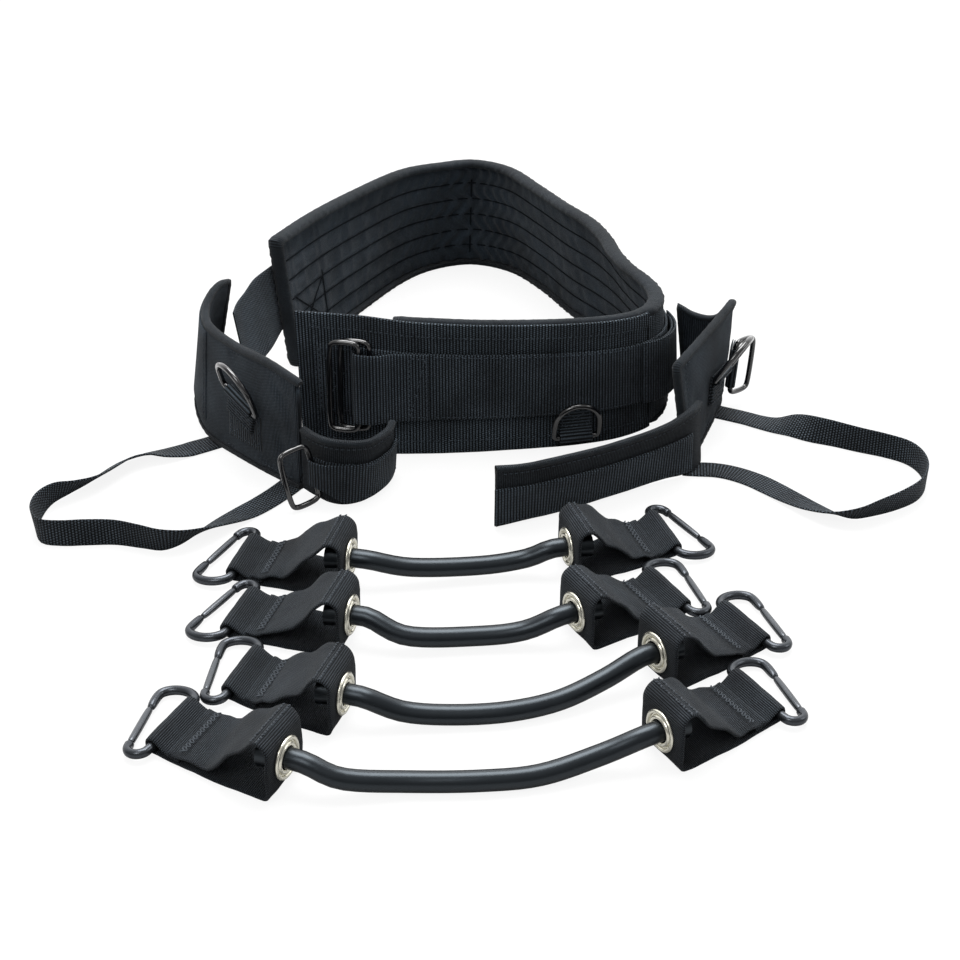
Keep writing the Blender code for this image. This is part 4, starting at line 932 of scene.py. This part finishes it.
# %% The keeper on the belt's bend
KEEP_FIRST, KEEP_LAST = 0.236, 0.292
us = np.linspace(KEEP_FIRST, KEEP_LAST, 27)
arch = np.sin(np.pi * (us - KEEP_FIRST) / (KEEP_LAST - KEEP_FIRST))
for name, nodes, rise, low, high in (("keeper_1", ("belt_keeper",), 0.0050, 0.27, 0.79),
                                     ("keeper_2", (), 0.0024, 0.285, 0.775)):
    strip(name, belt, us, low, high, 0.0062 + rise * arch, 0.0015, "black_webbing", "belt",
          nodes, across=11)
for u in (KEEP_FIRST + 0.002, KEEP_LAST - 0.002):
    sew("belt", belt.at(u, np.linspace(0.30, 0.76, 18), 0.0074))
print("keeper made")

# %% [markdown]
# ## Tabs
# Each D-ring hangs in a short tab of heavy ribbed tape, folded round its bar. The hinge in
# the frame says where the bar lies and which way it points, so the tab's fold is drawn
# round the hinge itself: along the wall, round the bar and back again.

# %% Tabs folded round the rings' bars
TAB_BEND = 0.0030


def tab(name, body, node, pivot, bar, up, width, tail):
    """A folded tape round a bar: pivot is the bar's middle, bar its direction, up the tail's."""
    bar = Vector(bar).normalized()
    up = (Vector(up) - bar * Vector(up).dot(bar)).normalized()
    out = up.cross(bar)
    path = [(-0.0031, tail), (-0.0031, tail * 0.6), (-0.0031, 0.004)]
    path += [(TAB_BEND * math.cos(a), TAB_BEND * math.sin(a))
             for a in np.radians(np.linspace(180, 425, 15))]
    path += [(-0.0012, 0.0052), (-0.0016, 0.008), (-0.0016, tail * 0.7), (-0.0016, tail * 0.97)]
    centre = [Vector(pivot) + out * y + up * z for y, z in path]
    half = bar * (width / 2)
    mesh = ribbon([tuple(c - half) for c in centre], [tuple(c + half) for c in centre], 0.0013)
    made(name, mesh, "tab_webbing", body, (node,))
    face = Vector(pivot) - out * 0.0008
    box = [(-0.42, 0.0085), (0.42, 0.0085), (0.42, tail - 0.002), (-0.42, tail - 0.002)]
    lines = [box + box[:1], [box[0], box[2]], [box[1], box[3]]]
    for line in lines:
        sew(body, [tuple(face + bar * (width * t) + up * h) for t, h in line], radius=0.00034)


for side in ("front", "back"):
    hinge = hinges["belt_%s_d_ring_tilt" % side]
    tab("d_tab_%s" % side, "belt", "belt_d_tab_" + side, hinge["pos_m"],
        [-v for v in hinge["axis"]], (0, 0, 1), 0.023, 0.022)
ring_at = np.array(hinges["belt_front_d_ring_tilt"]["pos_m"])
ring_share = ring_at[2] / BELT_HEIGHT
gaps = np.linalg.norm((belt.foot + belt.top)[:, :2] / 2 - ring_at[:2], axis=1)
middle = belt.walk[np.argmin(gaps)]
reach = np.linspace(middle - 0.03, middle + 0.03, 121)
gaps = np.linalg.norm(belt.at(reach, ring_share) - ring_at, axis=1)
under = reach[np.argmin(gaps)] + np.linspace(-0.0115, 0.0115, 9)
strip("d_tab_foot", belt, under, 0.015, ring_share, SHELL + 0.0004, 0.0014, "loop_webbing",
      "belt", slot="tab_webbing", across=7)
print("belt tabs made")

# %% [markdown]
# ## The cuffs
# A cuff is a padded wrap with a closing strap. The wrap is foam between two cloths, so it
# gets the same swelling as the belt's pad, pinned at its bound rim. The strap has a wide
# backing and a narrower ribbed tape on it, which on the left cuff also folds round the
# rectangular ring.

# %% Padded wraps
def wrap_piece(name, wall, body, node, last, seams, first=0.002, low=0.02, high=0.975):
    """A foam wrap between two cloths, sewn through at its rim and its seams."""
    us = np.linspace(first, last, round((last - first) / 0.004) + 1)
    faces = [(h, 1) for h in np.linspace(low, high, 23)]
    faces += [(h, -1) for h in np.linspace(high, low, 23)]
    u, share, face = spread_over(us, faces)
    rim = (share > high - 0.02) | (share < low + 0.02) | (u < first + 0.002) | (u > last - 0.002)
    seam = near(u, seams, 0.0022) > 0.6
    out = face * np.where(rim | seam, 0.0018, 0.0021) + 0.0003 * unevenness(u, share * 0.08, 0.06)
    pins = (rim | seam).astype(float)
    run = np.linspace(0, 0.16, len(faces) + 1)
    piece = made(name, skin(wall.at(u, share, out), us, run), "cuff_neoprene", body, (node,),
                 smooth=180)
    swell(piece, pins.ravel(), 2.0, 0.0009)
    finer(piece)
    for rise in (0.925, 0.065):
        sew(body, wall.at(us[2:-2], rise, 0.0022), radius=0.00034)
    for place in (first + 0.007, *seams):
        sew(body, wall.at(place, np.linspace(0.08, 0.91, 30), 0.0019), radius=0.00034)


wrap_piece("left_wrap_pad", left_wrap, "cuff_left", "cuff_left_wrap",
           left_wrap.length - 0.001, [0.034, left_wrap.length - 0.010])
wrap_piece("right_wrap_pad", right_wrap, "cuff_right", "cuff_right_wrap",
           right_wrap.length - 0.002, [0.012, right_wrap.length - 0.030])
strip("left_wrap_overlap", left_wrap, np.linspace(0.003, 0.068, 24), 0.14, 0.94, 0.0034, 0.0014,
      "cuff_neoprene", "cuff_left")
sew("cuff_left", left_wrap.at(0.0655, np.linspace(0.17, 0.91, 24), 0.0041))
for side, wall, short, height, sides in (("left", left_wrap, 0.0005, 0.085, "bft"),
                                         ("right", right_wrap, 0.004, 0.08, "tebf")):
    track = edge_track(0.004, wall.length - short, 0.03, 0.945, 0.004, 0.05, height=height,
                       sides=sides)
    tape = bind(wall, track, -0.0029, 0.0029, 0.00012, closed=side == "right")
    made(side + "_wrap_tape", tape, "edge_binding", "cuff_" + side, smooth=60)
print("wraps made")

# %% Closing straps
BACKING, FACING = 0.0030, 0.0024
TAPE_LOW, TAPE_HIGH = 0.04, 0.66


def closing_strap(name, wall, body, node, tape_first=None, tape_last=None):
    """A wide backing with a hemmed top edge and a narrower ribbed tape sewn on its front."""
    half = BACKING / 2
    back = sweep(wall, 0.0, wall.length, [(0.0, half), (1.0, half), (1.0, -half), (0.0, -half)],
                 step=0.003, height=0.048, radius=0.0009, wave=0.00015,
                 grow=lambda u, h, d: d + np.sign(d) * 0.0005 * np.clip((h - 0.86) / 0.02, 0, 1))
    made(name + "_backing", back, "loop_webbing", body, (node,))
    us = np.linspace(0.0, wall.length, round(wall.length / 0.002))
    track = [(u, 0.93, 0.0, 0.07) for u in us]
    made(name + "_edge", bind(wall, track, -0.0023, 0.0026, 0.00012), "edge_binding", body,
         smooth=60)
    sew(body, wall.at(np.linspace(0.004, wall.length - 0.002, 40), 0.885, 0.0019))
    if tape_first is None:
        return
    us = np.linspace(tape_first, tape_last, round((tape_last - tape_first) / 0.003) + 1)
    out = half + FACING / 2
    tape = ribbon(wall.at(us, TAPE_LOW, out), wall.at(us, TAPE_HIGH, out + 0.0006),
                  FACING - 0.0002, across=11, wave=0.00015)
    made(name + "_tape", tape, "black_webbing", body)
    for share in (TAPE_LOW + 0.04, TAPE_HIGH - 0.03):
        sew(body, wall.at(us[1:-1], share, out + FACING / 2 - 0.00005), radius=0.00032)
    for u in (tape_first + 0.003, tape_last - 0.003):
        sew(body, wall.at(u, np.linspace(TAPE_LOW + 0.05, TAPE_HIGH - 0.04, 12),
                          out + FACING / 2))


closing_strap("right_strap", right_strap, "cuff_right", "cuff_right_strap",
              -0.0016, right_strap.length - 0.0165)
closing_strap("left_strap", left_strap, "cuff_left", "cuff_left_strap")
print("closing straps made")

# %% The left strap's front tape, folded round its ring
bar_u, bar_out, bend_radius = 0.0148, 0.0051, 0.0029
fold = [(0.0400, 0.0021), (0.0300, 0.0021), (0.0220, 0.0021)]
fold += [(bar_u - bend_radius * math.sin(a), bar_out - bend_radius * math.cos(a))
         for a in np.linspace(0, math.pi, 15)]
fold += [(0.0190, 0.0080), (0.0240, 0.0072), (0.0290, 0.0052), (0.0343, 0.0040), (0.0400, 0.0034)]
fold += [(u, 0.0034) for u in np.linspace(0.0440, left_strap.length, 36)]
fold = np.array(fold)
sink = np.clip((fold[:, 0] - 0.0223) / 0.012, 0, 1)
low = 0.26 - 0.21 * sink
low[:4] = 0.26
strip("left_strap_tape", left_strap, fold[:, 0], low, TAPE_HIGH, fold[:, 1], 0.0015,
      "black_webbing", "cuff_left", across=11, wave=0.00012)
us = np.linspace(0.046, left_strap.length - 0.002, 40)
for share in (0.10, 0.62):
    sew("cuff_left", left_strap.at(us, share, 0.0042))
sew("cuff_left", left_strap.at(0.0365, np.linspace(0.12, 0.62, 12), 0.0046))
print("front tape folded round the ring's bar")

# %% Tabs of the cuffs
for side, wall in (("left", left_wrap), ("right", right_wrap)):
    hinge = hinges["cuff_%s_d_ring_tilt" % side]
    tab(side + "_cuff_tab", "cuff_" + side, "cuff_%s_d_tab" % side, hinge["pos_m"],
        hinge["axis"], (0, 0, -1), 0.029, 0.020)
hinge = hinges["cuff_right_ring_swing"]
heel = right_wrap.at(np.array([0.0955, 0.0965]), 0.36, 0.0)
tab("right_ring_tab", "cuff_right", "cuff_right_ring_tab", hinge["pos_m"], hinge["axis"],
    heel[1] - heel[0], 0.029, 0.020)
strip("left_tab_patch", left_wrap, np.linspace(0.0975, 0.1335, 13), 0.17, 0.47, 0.0029, 0.0010,
      "tab_webbing", "cuff_left")
for ends in ([(0.100, 0.20), (0.131, 0.20), (0.131, 0.44), (0.100, 0.44), (0.100, 0.20)],
             [(0.100, 0.20), (0.131, 0.44)], [(0.131, 0.20), (0.100, 0.44)]):
    sew("cuff_left", line_on(left_wrap, ends, 0.0036))
print("cuff tabs made")

# %% [markdown]
# ## Foot straps
# A foot strap is a plain 19 mm ribbon that lies on the floor as it fell: flat in places, on
# its edge in others. It is drawn from above, with the roll about its own length at each
# point, and its height follows from the roll, because its lowest edge rests on the floor.

# %% Foot straps
def foot_strap(name, body, node, route):
    """A ribbon along the floor, rolled about its own length."""
    rows = np.array(route, float)
    spots = np.stack([rows[:, 0] * MM, rows[:, 1] * MM, 0 * rows[:, 0]], axis=1) - OFFSET
    rolls = np.stack([np.radians(rows[:, 2]), 0 * rows[:, 0], 0 * rows[:, 0]], axis=1)
    spots, rolls = even_steps((spots, rolls), 0.004)
    roll = rolls[:, :1]
    ahead = np.gradient(spots, axis=0)
    ahead /= np.linalg.norm(ahead, axis=1)[:, None]
    level = np.stack([-ahead[:, 1], ahead[:, 0], 0 * ahead[:, 0]], axis=1)
    across = np.cos(roll) * level + np.sin(roll) * np.array([0, 0, 1.0])
    rise = np.abs(across[:, 2]) * 0.0095 + np.abs(np.cos(roll[:, 0])) * 0.0008
    middle = spots + np.stack([0 * rise, 0 * rise, rise], axis=1)
    mesh = ribbon(middle - across * 0.0094, middle + across * 0.0094, 0.0014)
    made(name, mesh, "strap_webbing", body, (node,))
    print(name, "%.3f m long" % walked(middle)[-1])


foot_strap("left_foot_strap", "cuff_left", "cuff_left_stirrup", LEFT_STIRRUP_ROUTE)
foot_strap("right_foot_strap", "cuff_right", "cuff_right_stirrup", RIGHT_STIRRUP_ROUTE)

# %% [markdown]
# ## The bands
# Each band is a rubber tube between two webbing loops. The loop is one strap: along the
# floor, up the end face where the tube passes a metal eyelet, over the tube's knot, down a
# slope, and round the carabiner's spine, where it is sewn to itself. Nothing holds the slope
# up, so it is a little wavy and the edge on the front side hangs lower.

# %% Webbing loops
LOOP_THICK, LOOP_HEIGHT, LOOP_HALF = 0.0022, 0.0370, 0.0215
EYE_HEIGHT, TUBE_HEIGHT = 0.0052, 0.0185
UP = np.array([0, 0, 1.0])


def direction(heading):
    """A level direction, from its angle in degrees."""
    angle = math.radians(heading)
    return np.array([math.cos(angle), math.sin(angle), 0.0])


def loop_path(reach):
    """Middle line of the loop's strap: (distance from the end face, height)."""
    t = LOOP_THICK
    points = [(reach - 0.0190, 1.6 * t), (reach - 0.0135, 1.75 * t), (reach - 0.0085, 2.4 * t)]
    points += [(reach + (EYE_HEIGHT - t / 2) * math.cos(a),
                EYE_HEIGHT + (EYE_HEIGHT - t / 2) * math.sin(a))
               for a in np.radians(np.linspace(125, -90, 10))]
    points += [(reach - 0.012, t / 2), (reach * 0.6, t / 2), (0.018, t / 2),
               (0.0065, t / 2 + 0.0001), (0.0030, t / 2 + 0.0010), (0.0015, t / 2 + 0.0040),
               (t / 2, 0.0100), (t / 2, 0.0270),
               (0.0016, 0.0320), (0.0038, 0.0348), (0.0075, LOOP_HEIGHT - t / 2),
               (0.0120, LOOP_HEIGHT * 0.955 - t / 2), (0.0215, LOOP_HEIGHT * 0.80 - t / 2),
               (0.0320, LOOP_HEIGHT * 0.56 - t / 2), (0.0430, LOOP_HEIGHT * 0.34 - t / 2),
               (reach - 0.0185, 2.55 * t), (reach - 0.0115, 2.75 * t)]
    return np.array(points)


def band_end(number, side, x, y, heading, drift, reach):
    """Loop and stitches at one end of a band; it returns where the eyelet goes."""
    body = "band_%d" % number
    node = "%s_%s" % (body, side)
    ahead = direction(heading)
    left = np.array([-ahead[1], ahead[0], 0.0])
    origin = np.array([x * MM, y * MM, 0.0]) - OFFSET
    reach *= MM
    lean = drift * MM / reach
    bends = loop_path(reach)
    line = bend_through(bends, np.linspace(0, len(bends) - 1, 118))
    line[:, 1] = np.maximum(line[:, 1], LOOP_THICK / 2)
    a, z = line[:, 0], line[:, 1]
    pinch = np.maximum(0, 1 - a / (0.5 * reach)) * (1 + 0.7 * (2 * z / LOOP_HEIGHT - 1) ** 2)
    half = LOOP_HALF - 0.00225 * pinch
    middle = origin + a[:, None] * (ahead + lean * left) + z[:, None] * UP
    slope = (np.clip((a - 0.0112) / 0.009, 0, 1) * np.clip((reach - 0.023 - a) / 0.010, 0, 1)
             * (z > 0.006))
    away = 1 if side == "right" else -1
    edges = []
    for across, hang in ((-away, 0.0048), (away, 0.0)):
        lift = slope * (0.0018 * np.sin(230 * a + 1.9 * number + across) - hang)
        edges.append(middle + left * half[:, None] * across + lift[:, None] * UP)
    foot, top = edges if away > 0 else edges[::-1]
    mesh = ribbon(foot, top, LOOP_THICK - 0.0002, across=11, wave=0.0004)
    made(node + "_strap", mesh, "loop_webbing", body, (node + "_loop",))

    def spot(a, across, z):
        return origin + a * ahead + (across + lean * a) * left + z * UP

    for a, z, swing, width, radius, share in (
            (0.0070, LOOP_HEIGHT + 0.0003, 0.0008, 0.0185, 0.00045, 0.8),
            (0.0108, LOOP_HEIGHT - 0.0005, 0.0008, 0.0185, 0.00045, 0.8),
            (reach - 0.0215, 0.0098, 0.0012, 0.019, 0.00042, 0.9),
            (reach - 0.0190, 0.0084, 0.0012, 0.019, 0.00042, 0.9)):
        zigzag = [spot(a + (swing if k % 2 else -swing), w, z)
                  for k, w in enumerate(np.linspace(-width, width, 22))]
        sew(body, zigzag, radius=radius, pitch=0.003, share=share)
    return origin, ahead, left


ends = {}
for number, (left_end, right_end, _) in enumerate(BANDS, start=1):
    ends[number] = [band_end(number, side, *values)
                    for side, values in (("left", left_end), ("right", right_end))]
print("loops made:", 2 * len(ends))

# %% [markdown]
# The eyelet is turned sheet metal: a rolled outer lip, a groove and a raised throat round
# the tube. A turned piece is a profile swept round an axis, here the tube's own axis where
# it leaves the loop.

# %% Eyelets
EYELET = ((-0.0002, 0.0118), (-0.0008, 0.0123), (-0.0015, 0.0122), (-0.0020, 0.0116),
          (-0.0021, 0.0108), (-0.0016, 0.0102), (-0.0007, 0.0099), (-0.0006, 0.0094),
          (-0.0015, 0.0090), (-0.0022, 0.0084), (-0.0024, 0.0077), (-0.0021, 0.0070),
          (-0.0012, 0.0065), (0.0004, 0.0064), (0.0034, 0.0064), (0.0036, 0.0098),
          (0.0027, 0.0099), (0.0026, 0.0072), (-0.0003, 0.0072))


def turned(profile, centre, ahead, left, sides=48):
    """Sweep a (distance ahead, radius) profile round an axis."""
    rows = []
    for k in range(sides):
        w = 2 * math.pi * k / sides
        rows.append([centre + d * ahead + r * (math.cos(w) * left + math.sin(w) * UP)
                     for d, r in profile])
    around, run = ([0.001 * k for k in range(count + 1)] for count in (sides, len(profile)))
    return skin(np.array(rows), around, run, loop=True)


for number, pair in ends.items():
    for side, (origin, ahead, left) in zip(("left", "right"), pair):
        node = "band_%d_%s_eyelet" % (number, side)
        made(node + "_turned", turned(EYELET, origin + TUBE_HEIGHT * UP, ahead, left),
             "silver_eyelet", "band_%d" % number, (node,), smooth=50)
print("eyelets made")

# %% [markdown]
# The tube lies in a shallow curve between its two ends, nearly resting on the floor. It is a
# curve object, so its section stays round. Its ends swell inside the loops, where a knot
# keeps them from slipping out.

# %% Tubes
TUBE_RADIUS = 0.006


def tube_route(number):
    """The route of one tube, in metres, through its two eyelets."""
    left_end, right_end, middle = BANDS[number - 1]
    points = []
    for (x, y, heading, *_), steps in ((left_end, (14, 8, 0, -12)), (right_end, (-12, 0, 8, 14))):
        start = np.array([x * MM, y * MM, TUBE_HEIGHT]) - OFFSET
        points.append([start + direction(heading) * step * MM for step in steps])
    route = points[0] + [np.array(spot) * MM - OFFSET for spot in middle] + points[1]
    return even_steps((np.array(route),), 0.006)[0]


for number in range(1, 5):
    points = tube_route(number)
    name = "band_%d_rubber" % number
    data = bpy.data.curves.new(name, "CURVE")
    data.dimensions = "3D"
    data.bevel_depth = TUBE_RADIUS
    data.bevel_resolution = 8
    data.use_fill_caps = True
    spline = data.splines.new("POLY")
    spline.points.add(len(points) - 1)
    spline.points.foreach_set("co", np.column_stack([points, np.ones(len(points))]).ravel())
    for k, radius in ((0, 1.42), (1, 1.30), (-1, 1.42), (-2, 1.30)):
        spline.points[k].radius = radius
    spline.use_smooth = True
    data.materials.append(looks["rubber_tube"])
    tube = placed(name, data)
    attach(tube, "band_%d" % number)
    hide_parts("band_%d_tube" % number)

# %% [markdown]
# ## Rings and carabiners
# The frame's wires have six sides, enough for collision. For the eye each gets a rounder
# copy: the triangles are joined back into quads, subdivided, and pushed out slightly,
# because subdivision shrinks a thin wire.

# %% Rounder copies of the wires
def rounded(node, look, radius):
    """A subdivided copy of a CAD wire with its thickness kept; it rides on its own body."""
    mesh = bmesh.new()
    mesh.from_mesh(frame["nodes"][node].data)
    bmesh.ops.remove_doubles(mesh, verts=mesh.verts, dist=0.00001)
    bmesh.ops.join_triangles(mesh, faces=mesh.faces, angle_face_threshold=3.2,
                             angle_shape_threshold=3.2)
    for vertex in mesh.verts:
        vertex.normal_update()
    for vertex in mesh.verts:
        vertex.co += vertex.normal * radius * 0.24
    finer(made(node + "_round", mesh, look, node, (node,), smooth=180), 2)


wires = [(node, "black_gloss_wire", 0.0019) for node in (
    "belt_ring_outer", "belt_ring_inner", "belt_d_ring_front", "belt_d_ring_back",
    "cuff_left_ring", "cuff_left_d_ring", "cuff_right_ring", "cuff_right_d_ring")]
for number in range(1, 5):
    for side in ("left", "right"):
        node = "band_%d_%s" % (number, side)
        wires += [(node + "_carabiner", "grey_carabiner", 0.0027),
                  (node + "_gate", "grey_gate", 0.0022)]
for wire in wires:
    rounded(*wire)
print("wires rounded:", len(wires))

# %% Sew everything
lay_stitches()
print("stitches:", {body: len(runs) for body, runs in thread_runs.items()})

# %% [markdown]
# ## Light and floor
# The photograph has a white ground and soft light from above. The floor is nearly white to
# the camera and still takes a faint shadow, while the set itself sees a grey floor, a
# little paler in its gloss. The lamps stay at a plain level, so that black cloth keeps its
# black. The largest hangs overhead, slightly behind; a smaller one high in front shows the
# ribs, and one at the right draws edges. The world is brighter at the back, which gives the
# long highlights on tubes and rings.

# %% Floor
def make_floor():
    """A large plane: white with a faint shadow to the camera, grey to all other rays."""
    mesh = bmesh.new()
    bmesh.ops.create_grid(mesh, x_segments=1, y_segments=1, size=6.0)
    data = bpy.data.meshes.new("floor")
    mesh.to_mesh(data)
    mesh.free()
    material, tree, shader = painted("white_floor", {"Roughness": 0.9,
                                                     "Specular IOR Level": 0.0})
    glow = wire_up(tree, "ShaderNodeEmission", -200, -300, {"Strength": 1.0})
    both = wire_up(tree, "ShaderNodeMixShader", 200, -100)
    ray = wire_up(tree, "ShaderNodeLightPath", -800, 100)
    paint = blend(tree, -400, 0, (0.32, 0.32, 0.32), (0.95, 0.95, 0.95))
    mirrored = maths(tree, "MULTIPLY", ray.outputs["Is Glossy Ray"], 0.2, -700, -100)
    tree.links.new(maths(tree, "MAXIMUM", ray.outputs["Is Camera Ray"], mirrored, -550, 0),
                   paint.inputs[0])
    tree.links.new(paint.outputs[2], shader.inputs["Base Color"])
    tree.links.new(maths(tree, "MULTIPLY", ray.outputs["Is Camera Ray"], 0.88, -400, 250),
                   both.inputs[0])
    tree.links.new(shader.outputs[0], both.inputs[1])
    tree.links.new(glow.outputs[0], both.inputs[2])
    tree.links.new(both.outputs[0], tree.nodes["Material Output"].inputs[0])
    data.materials.append(material)
    plane = placed("floor", data)
    plane.location = (0, 0, -0.0004)


make_floor()
print("floor laid")

# %% Lamps and world
def lamp(name, place, target, size, power):
    """A square soft lamp that points at a target."""
    data = bpy.data.lights.new(name, "AREA")
    data.shape = "SQUARE"
    data.size = size
    data.energy = power
    light = placed(name, data)
    light.location = place
    light.rotation_euler = (Vector(target) - Vector(place)).to_track_quat("-Z", "Y").to_euler()


lamp("overhead", (0.0, 0.45, 1.9), (0, 0, 0), 1.3, 48.0)
lamp("high_front", (-0.7, -1.5, 1.7), (0, 0, 0), 0.9, 13.0)
lamp("right_side", (1.7, -0.1, 1.0), (0, 0, 0.05), 0.8, 5.0)
print("lamps:", len(bpy.data.lights))

# %% World
world = bpy.data.worlds.new("studio")
world.use_nodes = True
sky = world.node_tree
facing = wire_up(sky, "ShaderNodeTexCoord", -900, 0)
parts = wire_up(sky, "ShaderNodeSeparateXYZ", -700, 0)
rise = wire_up(sky, "ShaderNodeMapRange", -500, 0, {"To Min": 0.22, "To Max": 0.65})
behind = wire_up(sky, "ShaderNodeMapRange", -500, -300, {"From Max": 0.8, "To Max": 1.5})
ray = wire_up(sky, "ShaderNodeLightPath", -500, 300)
sky.links.new(facing.outputs["Generated"], parts.inputs[0])
sky.links.new(parts.outputs[2], rise.inputs["Value"])
sky.links.new(parts.outputs[1], behind.inputs["Value"])
both = maths(sky, "ADD", rise.outputs[0], behind.outputs[0], -350, -100)
camera_ray = ray.outputs["Is Camera Ray"]
others = maths(sky, "SUBTRACT", 1.0, camera_ray, -350, 250)
power = maths(sky, "ADD", maths(sky, "MULTIPLY", both, others, -200, 0), camera_ray, -100, 100)
dial(sky.nodes["Background"], {0: (1, 1, 1, 1)})
sky.links.new(power, sky.nodes["Background"].inputs[1])
bpy.context.scene.world = world
bpy.context.scene.view_settings.view_transform = "Standard"
print("world:", world.name)

# %% Finish
bpy.context.view_layer.update()
